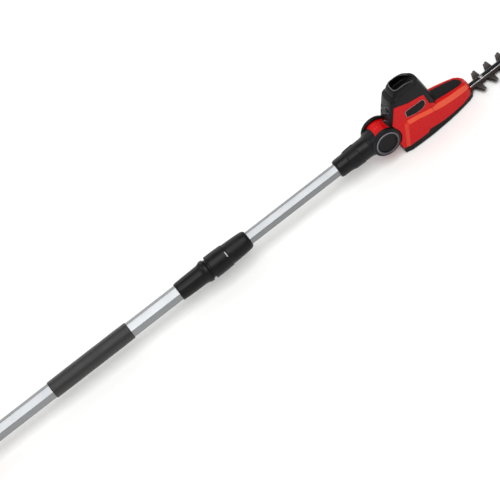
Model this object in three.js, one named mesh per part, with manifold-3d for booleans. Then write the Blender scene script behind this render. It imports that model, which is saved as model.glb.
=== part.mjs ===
// Cordless telescopic-pole hedge trimmer, in millimetres, lying flat with its blade forward.
// Everything is drawn in the pole's frame: x forward along the pole from the head's tilt axis,
// y to the left, z up from the pole's axis. The exported group then moves the whole object so
// that its origin is the middle of the surface that it lies on.
import * as THREE from "three";
import { mergeVertices } from "three/addons/utils/BufferGeometryUtils.js";
import Module from "manifold-3d";

const wasm = await Module();
wasm.setup();

// ---- driving dimensions ----
const GAP = 0.3; // between pieces that touch
const FLOOR = -56; // underside of the skid plate, the hand guard and the battery
const WALL = 2.5; // moulded plastic

const OUTER_TUBE = { flats: 30, wall: 1.5, from: -1090, to: -415 };
const INNER_TUBE = { flats: 25, wall: 1.5, from: -865, to: -50 };
const FOAM = { from: -817, to: -624, r: 18.9 };

const FORK = { r: 32, inside: 18.5, face: 26.5, ringFace: 30, ringOuter: 25.4, ringInner: 21 };
const BARREL = { r: 27, half: 18.2 };
const BUTTON = { r: 20.6, face: 28, back: 24.8, hub: 7.7, travel: 4 };

const MOTOR_X = 84;
const GEAR_X = 111;
const MODULE = 0.9;
const GEAR_TEETH = 50;
const PINION_TEETH = 10;
const THROW = 4; // of each cam, so each blade moves 4 mm either way
const CAM_R = 8;

const BLADE = { tip: 650, half: 9.8, reach: 30, pitch: 30, thick: 2, upper: -45.3, lower: -47.6 };
const BAR = { half: 5, bottom: -45, top: -41, from: 135, to: 640 };
const RIVETS = [232, 324, 416, 508, 600];

const HANDLE = { front: -1008, rear: -1302, grip: 17, body: 30 };
const BATTERY = { front: -1302.6, rear: -1366, half: 37, top: 44, split: -1330 };
const CELL = { r: 9, length: 65, x: -1347, pitch: 18.7 };

const FINISH = {
  redPlastic: { color: 0xd31818, roughness: 0.3, metalness: 0 },
  blackPlastic: { color: 0x1b1b1d, roughness: 0.42, metalness: 0 },
  softBlack: { color: 0x262626, roughness: 0.75, metalness: 0 },
  foam: { color: 0x161616, roughness: 0.85, metalness: 0 },
  aluminium: { color: 0xc9cacc, roughness: 0.32, metalness: 0.9 },
  steel: { color: 0x8c8c8e, roughness: 0.35, metalness: 0.95 },
  bladeSteel: { color: 0x3b3430, roughness: 0.4, metalness: 0.9 },
  badge: { color: 0x101012, roughness: 0.2, metalness: 0.1 },
  cell: { color: 0x2f6f8f, roughness: 0.5, metalness: 0 },
};

// ---- shape tools ----
const [X, Y, Z] = [[1, 0, 0], [0, 1, 0], [0, 0, 1]].map((v) => new THREE.Vector3(...v));
const TURN = {
  x: new THREE.Matrix4().makeBasis(Y, Z, X),
  y: new THREE.Matrix4().makeBasis(X, Z, Y.clone().negate()),
  z: new THREE.Matrix4(),
};

// A closed geometry as a solid, with its faces turned outwards.
function solidOf(geometry) {
  geometry.deleteAttribute("normal");
  geometry.deleteAttribute("uv");
  const merged = mergeVertices(geometry, 1e-4);
  const vertProperties = new Float32Array(merged.attributes.position.array);
  const faces = [];
  const index = merged.index.array;
  for (let i = 0; i < index.length; i += 3) {
    const [a, b, c] = [index[i], index[i + 1], index[i + 2]];
    if (a !== b && b !== c && c !== a) faces.push([a, b, c]);
  }
  const make = (list) =>
    new wasm.Manifold(
      new wasm.Mesh({ numProp: 3, vertProperties, triVerts: new Uint32Array(list.flat()) }),
    );
  const solid = make(faces);
  return solid.volume() > 0 ? solid : make(faces.map(([a, b, c]) => [a, c, b]));
}

const join = (first, ...rest) => rest.reduce((whole, part) => whole.add(part), first);
const cut = (first, ...rest) => rest.reduce((whole, part) => whole.subtract(part), first);

// An outline carried along one axis: [y, z] along x, [x, z] along y or [x, y] along z.
function prism(axis, outline, from, to, holes = []) {
  const shape = new THREE.Shape(outline.map(([a, b]) => new THREE.Vector2(a, b)));
  shape.holes = holes.map((hole) => new THREE.Path(hole.map(([a, b]) => new THREE.Vector2(a, b))));
  const geometry = new THREE.ExtrudeGeometry(shape, { depth: to - from, bevelEnabled: false });
  geometry.translate(0, 0, axis === "y" ? -to : from);
  return solidOf(geometry.applyMatrix4(TURN[axis]));
}

const ring = (r, sides, [a, b] = [0, 0], turn = 0) =>
  Array.from({ length: sides }, (_, i) => {
    const angle = turn + (2 * Math.PI * i) / sides;
    return [a + r * Math.cos(angle), b + r * Math.sin(angle)];
  });

const rod = (axis, r, from, to, at = [0, 0], sides = 24) =>
  prism(axis, ring(r, sides, at), from, to);

const box = (x0, x1, y0, y1, z0, z1) =>
  prism("z", [[x0, y0], [x1, y0], [x1, y1], [x0, y1]], z0, z1);

// A hexagon with a corner up and two upright flats.
const hexagon = (flats) => ring(flats / Math.sqrt(3), 6, [0, 0], Math.PI / 2);

// A profile of [x, radius] points turned about the pole's axis.
function turned(profile, sides = 28) {
  const points = [...profile, profile[0]].map(([x, r]) => new THREE.Vector2(r, x));
  return solidOf(new THREE.LatheGeometry(points, sides).rotateZ(-Math.PI / 2));
}

// A skin through rings that all have the same number of [x, y, z] points, closed at both ends.
function loft(rings) {
  const count = rings[0].length;
  const points = rings.flat();
  const faces = [];
  for (let r = 0; r < rings.length - 1; r++) {
    for (let i = 0; i < count; i++) {
      const [a, b] = [r * count + i, r * count + ((i + 1) % count)];
      faces.push([a, b, b + count], [a, b + count, a + count]);
    }
  }
  [rings[0], rings.at(-1)].forEach((end, which) => {
    const base = which ? (rings.length - 1) * count : 0;
    const centre = points.length;
    points.push([0, 1, 2].map((k) => end.reduce((sum, p) => sum + p[k], 0) / count));
    for (let i = 0; i < count; i++) {
      const [a, b] = [base + i, base + ((i + 1) % count)];
      faces.push(which ? [centre, a, b] : [centre, b, a]);
    }
  });
  const geometry = new THREE.BufferGeometry();
  geometry.setAttribute("position", new THREE.Float32BufferAttribute(points.flat(), 3));
  geometry.setIndex(faces.flat());
  return solidOf(geometry);
}

// A round section carried along a smooth route.
function cable(route, r, sides = 8, steps = 24) {
  const path = new THREE.CatmullRomCurve3(route.map((p) => new THREE.Vector3(...p)));
  const shape = new THREE.Shape(ring(r, sides).map(([a, b]) => new THREE.Vector2(a, b)));
  return solidOf(new THREE.ExtrudeGeometry(shape, { steps, extrudePath: path, bevelEnabled: false }));
}

// A compression spring's wire along y, centred on [x, z].
function coilSpring([x, z], r, wire, from, to, turns) {
  const path = new THREE.Curve();
  path.getPoint = (t, target = new THREE.Vector3()) => {
    const angle = 2 * Math.PI * turns * t;
    return target.set(x + r * Math.cos(angle), from + (to - from) * t, z + r * Math.sin(angle));
  };
  const shape = new THREE.Shape(ring(wire, 5).map(([a, b]) => new THREE.Vector2(a, b)));
  const steps = turns * 8;
  return solidOf(new THREE.ExtrudeGeometry(shape, { steps, extrudePath: path, bevelEnabled: false }));
}

const mirrored = (solid) => solid.mirror([0, 1, 0]);
const rightHalf = (solid) => solid.intersect(box(-1500, 700, -100, -GAP / 2, -100, 150));
const leftHalf = (solid) => solid.intersect(box(-1500, 700, GAP / 2, 100, -100, 150));

// ---- the pole ----
const hexTube = ({ flats, wall, from, to }) =>
  prism("x", hexagon(flats), from, to, [hexagon(flats - 2 * wall)]);

const hexBore = (flats, from, to) => prism("x", hexagon(flats + 2 * GAP), from, to);

const COLLAR_REAR = -504;
const COLLAR_END = -376;

function clampCollar() {
  const profile = [
    [COLLAR_REAR, 0], [COLLAR_REAR, 18], [-500, 19], [-482, 19.9], [-443, 20.6], [-436, 21.3],
    [-433, 23.6], [-425.5, 23.8], [-425, 21], [-421, 20.4], [COLLAR_END, 20.4], [COLLAR_END, 0],
  ];
  return cut(
    turned(profile),
    hexBore(OUTER_TUBE.flats, COLLAR_REAR - 1, OUTER_TUBE.to + GAP),
    rod("x", 17.3, OUTER_TUBE.to, COLLAR_END + 1),
  );
}

// The wedge ring that the twist sleeve squeezes on to the inner tube.
const colletRing = () =>
  cut(
    turned([[-412, 0], [-412, 16.9], [-374, 16.9], [-371, 18.4], [-352, 17.2], [-352, 0]]),
    hexBore(INNER_TUBE.flats, -413, -351),
  );

function twistSleeve() {
  const outside = [
    [-420, 0], [-420, 24.3], [-418, 24.8], [-404, 24.7], [-388, 24.1], [-384, 23.9], [-381, 22.7],
    [-373, 22.3], [-357, 21.7], [-341, 20.7], [-334, 19.5], [-330, 16.6], [-330, 0],
  ];
  const inside = [
    [-421, 0], [-421, 20.7], [-372, 20.7], [-368, 19], [-350, 17.6], [-346, 16.4], [-346, 0],
  ];
  return cut(turned(outside), turned(inside), hexBoreRound(-347, -329));
}

// The sleeve turns about the hexagonal tube, so its mouth is round.
function hexBoreRound(from, to) {
  const corner = INNER_TUBE.flats / Math.sqrt(3) + GAP;
  return rod("x", corner, from, to, [0, 0], 36);
}

// The plastic bush on the inner tube's rear end, which guides it inside the outer tube.
const slideBush = () =>
  cut(
    prism("x", hexagon(OUTER_TUBE.flats - 2 * OUTER_TUBE.wall - 0.4), -893, -865 - GAP),
    rod("x", 8, -894, -860),
  );

// ---- the fork at the pole's front end ----
function forkHalf() {
  const neck = turned([
    [-110, 0], [-110, 16.8], [-108, 17.2], [-106, 19], [-102, 19.5], [-88, 19.6], [-82, 20.4],
    [-72, 21.7], [-60, 22], [-45, 22.3], [-30, 22.3], [-30, 0],
  ]);
  const root = prism(
    "z",
    [[-50, -20], [-36, -22], [-28, -24], [-20, -FORK.face], [0, -FORK.face], [0, 0], [-50, 0]],
    -30, 30,
  ).intersect(
    prism("y", [[-52, -21], [-34, -22], [-6, -24.6], [-6, 24.6], [-34, 22], [-52, 21]], -60, 60),
  );
  const boss = rod("y", FORK.r, -FORK.face, -FORK.inside, [0, 0], 40);
  const rim = rod("y", FORK.ringOuter, -FORK.ringFace, -FORK.face, [0, 0], 40);
  const pocket = rod("y", FORK.ringInner, -60, -20.4, [0, 0], 40);
  const hubHole = rod("y", BUTTON.hub + GAP, -60, 0);
  const crotch = join(
    rod("y", BARREL.r + 0.8, -FORK.inside, 10, [0, 0], 40),
    box(0, 60, -FORK.inside, 10, -40, 40),
  );
  const tubeSeat = hexBore(INNER_TUBE.flats, -111, INNER_TUBE.to + GAP);
  const leadWay = rod("x", 6, INNER_TUBE.to - 1, 0);
  const whole = cut(join(neck, root, boss, rim), crotch, pocket, hubHole, tubeSeat, leadWay);
  return rightHalf(whole);
}

// A round push button: its hub reaches through the fork arm into the barrel's toothed ring.
function lockButton() {
  const head = rod("y", BUTTON.r, -BUTTON.face, -BUTTON.back, [0, 0], 40);
  const hub = rod("y", BUTTON.hub, -BUTTON.back, -15.4);
  return join(head, hub);
}

const buttonSpring = () => coilSpring([0, 0], 11.5, 0.45, -BUTTON.back + 0.7, -21.1, 2);

function ratchetRing() {
  const teeth = 24;
  const outline = Array.from({ length: teeth * 2 }, (_, i) => {
    const r = i % 2 ? 14.6 : 13.4;
    return ring(r, teeth * 2)[i];
  });
  return prism("y", outline, -18, -14.4, [ring(BUTTON.hub + GAP, 24)]);
}

// ---- the head's lower housing ----
// Stations along the hull: x, half-width of the base, then [half-width, height] of the light
// band's lower edge, of its upper edge and of the flat top's rim.
const HULL = [
  [22, 24.5, [24.5, 7], [23, 12], [20, 15]],
  [40, 27.5, [27.5, 7], [24.5, 15], [21, 18]],
  [57, 30.3, [30, 6.6], [25.7, 15.5], [22, 19]],
  [70, 32.2, [31.6, 6], [26.3, 13.5], [22.5, 17]],
  [90, 33, [32.5, 0.5], [26.6, 8], [22, 11]],
  [110, 31.5, [31.5, -5.5], [26.5, 2.5], [20.5, 5]],
  [130, 30.3, [30, -12], [25.3, -0.8], [18.4, 0.8]],
  [150, 27.8, [27.4, -17], [23.7, -5.3], [17.4, -3.4]],
  [170, 24.4, [24, -22], [20.8, -9.3], [16, -7.8]],
  [186, 21.2, [20.8, -25.5], [18.3, -13], [14, -12]],
  [196, 16.8, [16.4, -29], [14, -18.5], [11, -17]],
  [201, 9.5, [9.5, -33], [8, -26], [6, -25]],
];

// The hull drawn inwards by inset, or outwards where inset is negative.
function hull(inset) {
  const [rear, front] = [HULL[0][0] + inset, HULL.at(-1)[0] - inset];
  return loft(
    HULL.map(([station, base, ...edges]) => {
      const x = Math.min(Math.max(station, rear), front);
      const half = [[base, FLOOR], ...edges].map(([y, z]) => [y - inset, z]);
      const lifted = half.map(([y, z], i) => [x, y, i ? z - inset : z + inset]);
      return [...lifted, ...lifted.toReversed().map(([px, y, z]) => [px, -y, z])];
    }),
  );
}

// Levels up the motor housing: z, rear and front ends, half-width, length of the rounded front.
const TOWER = [
  [-2, 18.5, 129.5, 26.3, 14],
  [20, 18.5, 127.5, 25.8, 15],
  [45, 30.5, 124.5, 25, 17],
  [62, 38.8, 122, 24, 20],
  [73, 44.4, 119.8, 22.9, 23],
  [76, 47, 119.2, 22, 24],
  [77, 54, 119, 21, 25],
  [84, 57.5, 118, 19.5, 27],
  [91, 64, 115.5, 16.5, 32],
];
const ROOF_LINE = [[56, 89], [70, 90.5], [91, 90.5], [101, 85], [111, 77.5], [120, 74]];

// One level's outline: a flat rear with blunt corners, straight sides and a rounded front.
function towerRing([z, rear, front, half, nose], inset) {
  const [r, f, h] = [rear + inset, front - inset, half - inset];
  const side = [
    [r, 0], [r + 0.3, 0.5 * h], [r + 1, 0.78 * h], [r + 3, 0.92 * h], [r + 6, 0.985 * h],
    [r + 10, h], [f - nose, h], [f - 0.38 * nose, 0.84 * h], [f - 0.08 * nose, 0.45 * h], [f, 0],
  ];
  const back = side.slice(1, -1).toReversed().map(([x, y]) => [x, -y]);
  return [...side, ...back].map(([x, y]) => [x, y, z]);
}

const tower = (inset, top = 91) =>
  loft(TOWER.map((level) => towerRing([Math.min(level[0], top), ...level.slice(1)], inset)));

const roof = () => prism("y", [...ROOF_LINE, [140, 70], [140, 130], [56, 130]], -60, 60);

const motorRoom = () =>
  loft(TOWER.slice(0, 5).map((level, i) => towerRing([[-8, 20, 45, 60, 72][i], ...level.slice(1)], WALL)));

// The red side cheeks reach up to this line; above and in front of it is the black cap.
const CHEEK_LINE = [[23, 20], [46, 62], [56, 59], [67, 54], [78, 50], [90, 48], [102, 46], [110, 43], [110.8, 15.5]];
const cheekRegion = (grow) =>
  prism("y", [[10, -60], [10, 20 + grow], ...CHEEK_LINE.map(([x, z]) => [x, z + grow]),
    [110.8 + grow, 15.5 + grow], [121 + grow, 7 + grow], [121 + grow, -60]], -60, 60);

// Everything below this line belongs to the skid plate.
const SKID_LINE = [[0, -42], [80, -42], [86, -37], [116, -43], [142, -45], [170, -47], [186, -45], [210, -44]];
const skidRegion = (grow) =>
  prism("y", [[0, -70], [210, -70], ...SKID_LINE.toReversed().map(([x, z]) => [x, z + grow])], -60, 60);

const RIM_LINE = [[117.5, 3.9], [130, 0.8], [150, -3.4], [170, -7.8], [186, -12], [194, -15.9]];
const inlayOutline = (grow) => {
  const side = [[118.5 - grow, 16.6], [150, 15.4], [173, 13.6], [184, 11.8], [190, 8], [192 + grow, 3]];
  const edge = side.map(([x, y]) => [x, y + grow]);
  return [...edge, ...edge.toReversed().map(([x, y]) => [x, -y])];
};
const inlaySlab = (grow, up, down) =>
  prism("z", inlayOutline(grow), -40, 20).intersect(
    prism("y", [...RIM_LINE.map(([x, z]) => [x - 1, z + up]),
      ...RIM_LINE.toReversed().map(([x, z]) => [x - 1, z - down])], -40, 40),
  );

const BADGE = [[62, 24], [64, 38.5], [107, 35.5], [108, 27], [105.5, 21], [98, 17.5], [82, 17], [66, 22.5]];
const badgeSlab = (grow, from, to) => {
  const middle = [85, 27];
  const outline = BADGE.map(([x, z]) => [
    x + Math.sign(x - middle[0]) * grow,
    z + Math.sign(z - middle[1]) * grow,
  ]);
  return prism("y", outline, from, to);
};

const bladeSlot = () => box(180, 206, -10.4, 10.4, -50.3, -40.4);
const armRoom = (grow = 0) =>
  join(
    rod("y", FORK.r + 1.2 + grow, -60, -BARREL.half + grow, [0, 0], 40),
    rod("y", FORK.r + 1.2 + grow, BARREL.half - grow, 60, [0, 0], 40),
  );

function housing() {
  const shell = join(hull(0), tower(0, 62).intersect(cheekRegion(0)));
  const hollow = cut(join(hull(WALL), motorRoom()), armRoom(WALL));
  const barrel = rod("y", BARREL.r, -BARREL.half, BARREL.half, [0, 0], 40);
  const barrelRoom = rod("y", BARREL.r - 3, -14, 14, [0, 0], 24);
  const ringSeats = rod("y", 15, -60, 60);
  const window = box(5, 32, -10, 10, -9, 9);
  const leadSlot = prism("y", [[0, 0], [-40, 20], [-40, -30], [-1, -40]], -7, 7);
  const body = cut(join(cut(shell, hollow, armRoom()), barrel), barrelRoom, ringSeats);
  return cut(
    body, window, leadSlot, skidRegion(GAP), inlaySlab(GAP, 20, 2.2), bladeSlot(),
    badgeSlab(GAP, -40, -24.4), badgeSlab(GAP, 24.4, 40), capRearRoom(),
  );
}

// The cap's rear face comes down to the barrel between the cheeks.
const capRearRoom = () =>
  prism("y", [[10, 20], [23, 20], [46, 62], [46, 90], [10, 90]], -60, 60).intersect(
    box(10, 60, -60, 60, 20, 90),
  );

function motorCap() {
  const outside = cut(tower(0), roof(), cheekRegion(GAP), hull(-GAP), rod("y", BARREL.r + GAP, -60, 60));
  const dishOutline = ring(1, 28).map(([a, b]) => [87 + 22 * a, (14.2 - 2 * a) * b]);
  const dish = prism("z", dishOutline, 75.4, 120);
  const slots = [43, 57, 70].map((z) =>
    prism("y", [[20, z + 9], [20, z + 4.5], [60, z - 16.8], [60, z - 12.3]], -12, 12)
      .intersect(box(20, 50 + 0.2 * z, -12, 12, 20, 90)),
  );
  return cut(outside, motorRoom(), dish, armRoom(), ...slots);
}

const topInlay = () => cut(inlaySlab(0, GAP, 1.8), tower(-GAP));
const badge = () => badgeSlab(0, -26.4, -24.7);

const skidPlate = () => cut(hull(0).intersect(skidRegion(0)), hull(WALL), bladeSlot(), armRoom());

// ---- the drive inside the head ----
function gearOutline(teeth, [cx, cy], turn) {
  const r = (MODULE * teeth) / 2;
  const pitch = (2 * Math.PI) / teeth;
  const points = [];
  for (let i = 0; i < teeth; i++) {
    const at = turn + i * pitch;
    for (const [radius, offset] of [
      [r - 1.15 * MODULE, -0.32], [r + 0.9 * MODULE, -0.1], [r + 0.9 * MODULE, 0.1],
      [r - 1.15 * MODULE, 0.32],
    ]) {
      const angle = at + offset * pitch;
      points.push([cx + radius * Math.cos(angle), cy + radius * Math.sin(angle)]);
    }
  }
  return points;
}

const driveGear = () =>
  prism("z", gearOutline(GEAR_TEETH, [GEAR_X, 0], 0), -16, -10, [ring(4 + GAP, 20, [GEAR_X, 0])]);

function crankShaft() {
  const shaft = rod("z", 4, BLADE.lower - BLADE.thick, -3, [GEAR_X, 0], 20);
  const upperCam = rod("z", CAM_R, BLADE.upper - BLADE.thick, BLADE.upper, [GEAR_X + THROW, 0]);
  const lowerCam = rod("z", CAM_R, BLADE.lower - BLADE.thick, BLADE.lower, [GEAR_X - THROW, 0]);
  const web = rod("z", 4, BLADE.lower - 1, BLADE.upper, [GEAR_X, 0], 20);
  return join(shaft, upperCam, lowerCam, web);
}

// The pinion's tooth gap faces the gear's tooth at rest.
function motorPinion() {
  const halfPitch = Math.PI / PINION_TEETH;
  const pinion = prism("z", gearOutline(PINION_TEETH, [MOTOR_X, 0], halfPitch), -16.5, -9.5);
  return join(pinion, rod("z", 1.8, -12, 20, [MOTOR_X, 0], 12));
}

const motorCan = () =>
  cut(rod("z", 18, -3.7, 54, [MOTOR_X, 0], 32), rod("z", 2.2, -5, 24, [MOTOR_X, 0], 12));

const motorEndcap = () =>
  join(
    rod("z", 17.4, 54 + GAP, 58, [MOTOR_X, 0], 32),
    box(MOTOR_X - 12, MOTOR_X - 8, -3, 3, 58, 64),
    box(MOTOR_X + 8, MOTOR_X + 12, -3, 3, 58, 64),
  );

const motorPlate = () =>
  cut(
    prism("z", [[56, -18], [118, -18], [126, -10], [126, 10], [118, 18], [56, 18]], -7, -4),
    rod("z", 3.2, -8, -3, [MOTOR_X, 0], 12),
    rod("z", 8 + GAP, -8, -3, [GEAR_X, 0]),
  );

const bearing = (from, to) =>
  cut(rod("z", 8, from, to, [GEAR_X, 0]), rod("z", 4 + GAP, from - 1, to + 1, [GEAR_X, 0], 20));

const gearCase = () =>
  cut(
    prism("z", [[66, -22], [128, -22], [160, -14], [176, -9], [176, 9], [160, 14], [128, 22], [66, 22]],
      -40.6, -37),
    rod("z", 8 + GAP, -42, -36, [GEAR_X, 0]),
  );

// ---- the cutting bar ----
const rivetHoles = (r, from, to) => RIVETS.map((x) => rod("z", r, from, to, [x, 0], 10));

const guideBar = () =>
  cut(
    prism("z", [[BAR.from, -BAR.half], [BAR.to - 10, -BAR.half], [BAR.to, 0], [BAR.to - 10, BAR.half],
      [BAR.from, BAR.half]], BAR.bottom, BAR.top),
    ...rivetHoles(2.6, -60, -30),
  );

// One toothed blade: hooked teeth on both edges, a yoke round its cam and slots for the rivets.
function blade(top, shift) {
  const { half, reach, pitch, tip } = BLADE;
  const tooth = (x, side) => {
    const lean = side > 0 ? 2 : 4;
    return [[x - 7.5, half], [x - 2.6 + lean, reach], [x + 2.6 + lean, reach], [x + 6.5, half]]
      .map(([px, y]) => [px, side * y]);
  };
  const count = 14;
  const starts = Array.from({ length: count }, (_, i) => 226 + i * pitch + shift);
  const leftEdge = starts.flatMap((x) => tooth(x, 1));
  const rightEdge = starts.toReversed().flatMap((x) => tooth(x - 9, -1).toReversed());
  const outline = [
    [GEAR_X + 18, half], ...leftEdge, [tip - 18, half], [tip - 2 + shift, 4], [tip - 2 + shift, -4],
    [tip - 18, -half], ...rightEdge, [GEAR_X + 18, -half],
  ];
  const body = prism("z", outline, top - BLADE.thick, top);
  const travel = 2 * THROW + 0.6;
  const [lengthwise, across] = [CAM_R + travel, CAM_R + THROW + 0.6];
  const yoke = prism("z", rounded(GEAR_X, 0, lengthwise + 5, across + 5, 8), top - BLADE.thick, top);
  const yokeHole = prism("z", rounded(GEAR_X, 0, lengthwise, across, 5), -60, -30);
  const slots = RIVETS.map((x) => prism("z", rounded(x, 0, 2.6 + THROW + 0.6, 2.7, 2.6), -60, -30));
  return cut(join(body, yoke), yokeHole, ...slots);
}

// A rectangle with rounded corners, from its centre and half sizes.
function rounded(cx, cy, halfX, halfY, r) {
  const corners = [[1, 1, 0], [-1, 1, 1], [-1, -1, 2], [1, -1, 3]];
  return corners.flatMap(([sx, sy, quarter]) =>
    [0, 1, 2, 3].map((k) => {
      const angle = (quarter + k / 3) * (Math.PI / 2);
      return [cx + sx * (halfX - r) + r * Math.cos(angle), cy + sy * (halfY - r) + r * Math.sin(angle)];
    }),
  );
}

const rivet = (x) =>
  join(
    rod("z", 4.6, BAR.top + GAP, BAR.top + 2.6, [x, 0], 12),
    rod("z", 2.2, BLADE.lower - BLADE.thick - 1, BAR.top + 1, [x, 0], 8),
    rod("z", 4.6, BLADE.lower - BLADE.thick - 2.6, BLADE.lower - BLADE.thick - GAP, [x, 0], 12),
  );

// ---- the rear handle ----
const HANDLE_OUTLINE = [
  [-1040, 25], [-1075, 27], [-1100, 31], [-1150, 28], [-1210, 27], [-1250, 33], [-1280, 41],
  [HANDLE.rear, 44], [HANDLE.rear, FLOOR], [-1140, FLOOR], [-1108, -53], [-1084, -44],
  [-1066, -30], [-1040, -25],
];
const LOOP = [
  [-1104, -12], [-1108, -34], [-1122, -45], [-1216, -45], [-1228, -38], [-1230, -16],
  [-1220, -10], [-1112, -10],
];

function handle() {
  const collar = rod("x", 25, -1082, HANDLE.front, [0, 0], 36);
  const grip = prism("y", HANDLE_OUTLINE, -HANDLE.grip, HANDLE.grip, [LOOP]);
  const body = prism(
    "y",
    [[-1248, 32], [-1280, 41], [HANDLE.rear, 44], [HANDLE.rear, FLOOR], [-1252, FLOOR], [-1240, -40],
      [-1240, 20]],
    -HANDLE.body, HANDLE.body,
  );
  const tubeSeat = hexBore(OUTER_TUBE.flats, OUTER_TUBE.from - GAP, HANDLE.front + 1);
  const gripRoom = box(-1244, OUTER_TUBE.from - 2, -14, 14, -6, 23);
  const bodyRoom = box(HANDLE.rear + WALL, -1243, -27, 27, -50, 30);
  const triggerSlot = box(-1152, -1098, -7.4, 7.4, -30, 0);
  const lockOffHole = box(-1128.4, -1101.6, -8.4, 8.4, 10, 40);
  const dockWay = box(HANDLE.rear - 1, HANDLE.rear + 4, -12, 12, -20, 12);
  return cut(
    join(collar, grip, body), tubeSeat, gripRoom, bodyRoom, triggerSlot, lockOffHole, dockWay,
    rod("x", 7, -1100, -1080),
  );
}

const TRIGGER_PIVOT = [-1106, -1];
const trigger = () =>
  cut(
    prism("y", [[-1101, 2], [-1101, -8], [-1108, -20], [-1122, -26], [-1136, -23], [-1145, -13],
      [-1148, -3], [-1140, 2]], -7, 7),
    rod("y", 2, -10, 10, TRIGGER_PIVOT, 12),
  );
const triggerPin = () => rod("y", 1.7, -13.7, 13.7, TRIGGER_PIVOT, 12);

const lockOffButton = () =>
  join(box(-1128, -1102, -8, 8, 25.6, 33.5), box(-1114, -1106, -4, 4, 20, 26));

const triggerSwitch = () =>
  join(box(-1160, -1118, -8, 8, 8, 17.6), box(-1146, -1142, -3, 3, 6.5, 9));

const triggerSpring = () =>
  coilSpring([0, 0], 3, 0.5, 2.6, 7.6, 2.5).rotate([90, 0, 0]).translate([-1130, 0, 0]);

function batteryDock() {
  const x = HANDLE.rear - GAP;
  return join(
    box(x - 4, x, -20, 20, -40, 30),
    box(x - 7, x - 4, -26, 26, -40, 30),
    box(x - 4, x + 3, -11, 11, -19, 11),
  );
}

function batteryCase() {
  const side = rounded(-1334.3, 0, 31.7, BATTERY.half, 7);
  const outside = prism("z", side, FLOOR, BATTERY.top);
  const room = box(-1363.5, -1313, -34.3, 34.3, FLOOR + WALL, BATTERY.top - WALL);
  const railNeck = box(-1307, -1300, -20.4, 20.4, FLOOR - 1, 30.4);
  const railWing = box(-1309.8, -1305.9, -26.4, 26.4, FLOOR - 1, 30.4);
  const buttonHole = box(-1328.4, -1315.6, -14.4, 14.4, 30, 60);
  return cut(outside, room, railNeck, railWing, buttonHole);
}
const batteryFront = () =>
  batteryCase().intersect(box(BATTERY.split + GAP, -1290, -50, 50, -80, 80));
const batteryRear = () => batteryCase().intersect(box(-1400, BATTERY.split, -50, 50, -80, 80));
const batteryButton = () =>
  join(box(-1328, -1316, -14, 14, 38, 45.5), box(-1325, -1319, -9, 9, 30, 38.5));
const cell = (i) => {
  const z = FLOOR + WALL + 0.4 + CELL.r + i * CELL.pitch;
  return rod("y", CELL.r, -CELL.length / 2, CELL.length / 2, [CELL.x, z], 20);
};

// ---- the assembly ----
const object = new THREE.Group();
object.name = "pole_hedge_trimmer";
const [REAR_END, FRONT_END] = [BATTERY.rear, BLADE.tip];
object.position.set(-(REAR_END + FRONT_END) / 2, 0, -FLOOR);

function add(group, name, solid, finish) {
  const { vertProperties, triVerts } = solid.getMesh();
  const geometry = new THREE.BufferGeometry();
  geometry.setAttribute("position", new THREE.BufferAttribute(new Float32Array(vertProperties), 3));
  geometry.setIndex(new THREE.BufferAttribute(new Uint32Array(triVerts), 1));
  geometry.computeVertexNormals();
  const mesh = new THREE.Mesh(geometry, new THREE.MeshStandardMaterial(FINISH[finish]));
  mesh.name = name;
  group.add(mesh);
}

function groupOf(name) {
  const group = new THREE.Group();
  group.name = name;
  object.add(group);
  return group;
}

const pole = groupOf("pole");
add(pole, "outer_tube", hexTube(OUTER_TUBE), "aluminium");
add(pole, "foam_grip",
  cut(rod("x", FOAM.r, FOAM.from, FOAM.to, [0, 0], 32), hexBore(OUTER_TUBE.flats, FOAM.from - 1, FOAM.to + 1)),
  "foam");
add(pole, "clamp_collar", clampCollar(), "blackPlastic");
add(pole, "collet_ring", colletRing(), "blackPlastic");
add(pole, "twist_sleeve", twistSleeve(), "blackPlastic");

const upperPole = groupOf("upper_pole");
add(upperPole, "inner_tube", hexTube(INNER_TUBE), "aluminium");
add(upperPole, "slide_bush", slideBush(), "blackPlastic");
add(upperPole, "coiled_lead", rod("x", 5.5, -1084, -56, [0, 0], 8), "softBlack");
add(upperPole, "neck_lead", cable([[-48, 0, 0], [-30, 0, 0], [-5, 0, 0]], 3, 8, 4), "softBlack");
add(upperPole, "fork_right", forkHalf(), "blackPlastic");
add(upperPole, "fork_left", mirrored(forkHalf()), "blackPlastic");
add(upperPole, "lock_button_right", lockButton(), "blackPlastic");
add(upperPole, "lock_button_left", mirrored(lockButton()), "blackPlastic");
add(upperPole, "button_spring_right", buttonSpring(), "steel");
add(upperPole, "button_spring_left", mirrored(buttonSpring()), "steel");

const head = groupOf("head");
const shells = housing();
add(head, "housing_right", rightHalf(shells), "redPlastic");
add(head, "housing_left", leftHalf(shells), "redPlastic");
add(head, "motor_cap", motorCap(), "blackPlastic");
add(head, "top_inlay", topInlay(), "softBlack");
add(head, "badge_right", badge(), "badge");
add(head, "badge_left", mirrored(badge()), "badge");
add(head, "skid_plate", skidPlate(), "blackPlastic");
add(head, "ratchet_right", ratchetRing(), "steel");
add(head, "ratchet_left", mirrored(ratchetRing()), "steel");
add(head, "head_lead",
  cable([[5, 0, 0], [20, 0, 2], [38, 0, 18], [50, 0, 40], [58, 0, 58]], 3, 8, 16), "softBlack");
add(head, "motor_can", motorCan(), "steel");
add(head, "motor_endcap", motorEndcap(), "blackPlastic");
add(head, "motor_plate", motorPlate(), "aluminium");
add(head, "gear_case", gearCase(), "aluminium");
add(head, "bearing_upper", bearing(-8, -3), "steel");
add(head, "bearing_lower", bearing(-42, -37), "steel");
add(head, "motor_pinion", motorPinion(), "steel");
add(head, "drive_gear", driveGear(), "steel");
add(head, "crank_shaft", crankShaft(), "steel");
add(head, "guide_bar", guideBar(), "steel");
add(head, "upper_blade", blade(BLADE.upper, 2), "bladeSteel");
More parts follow.
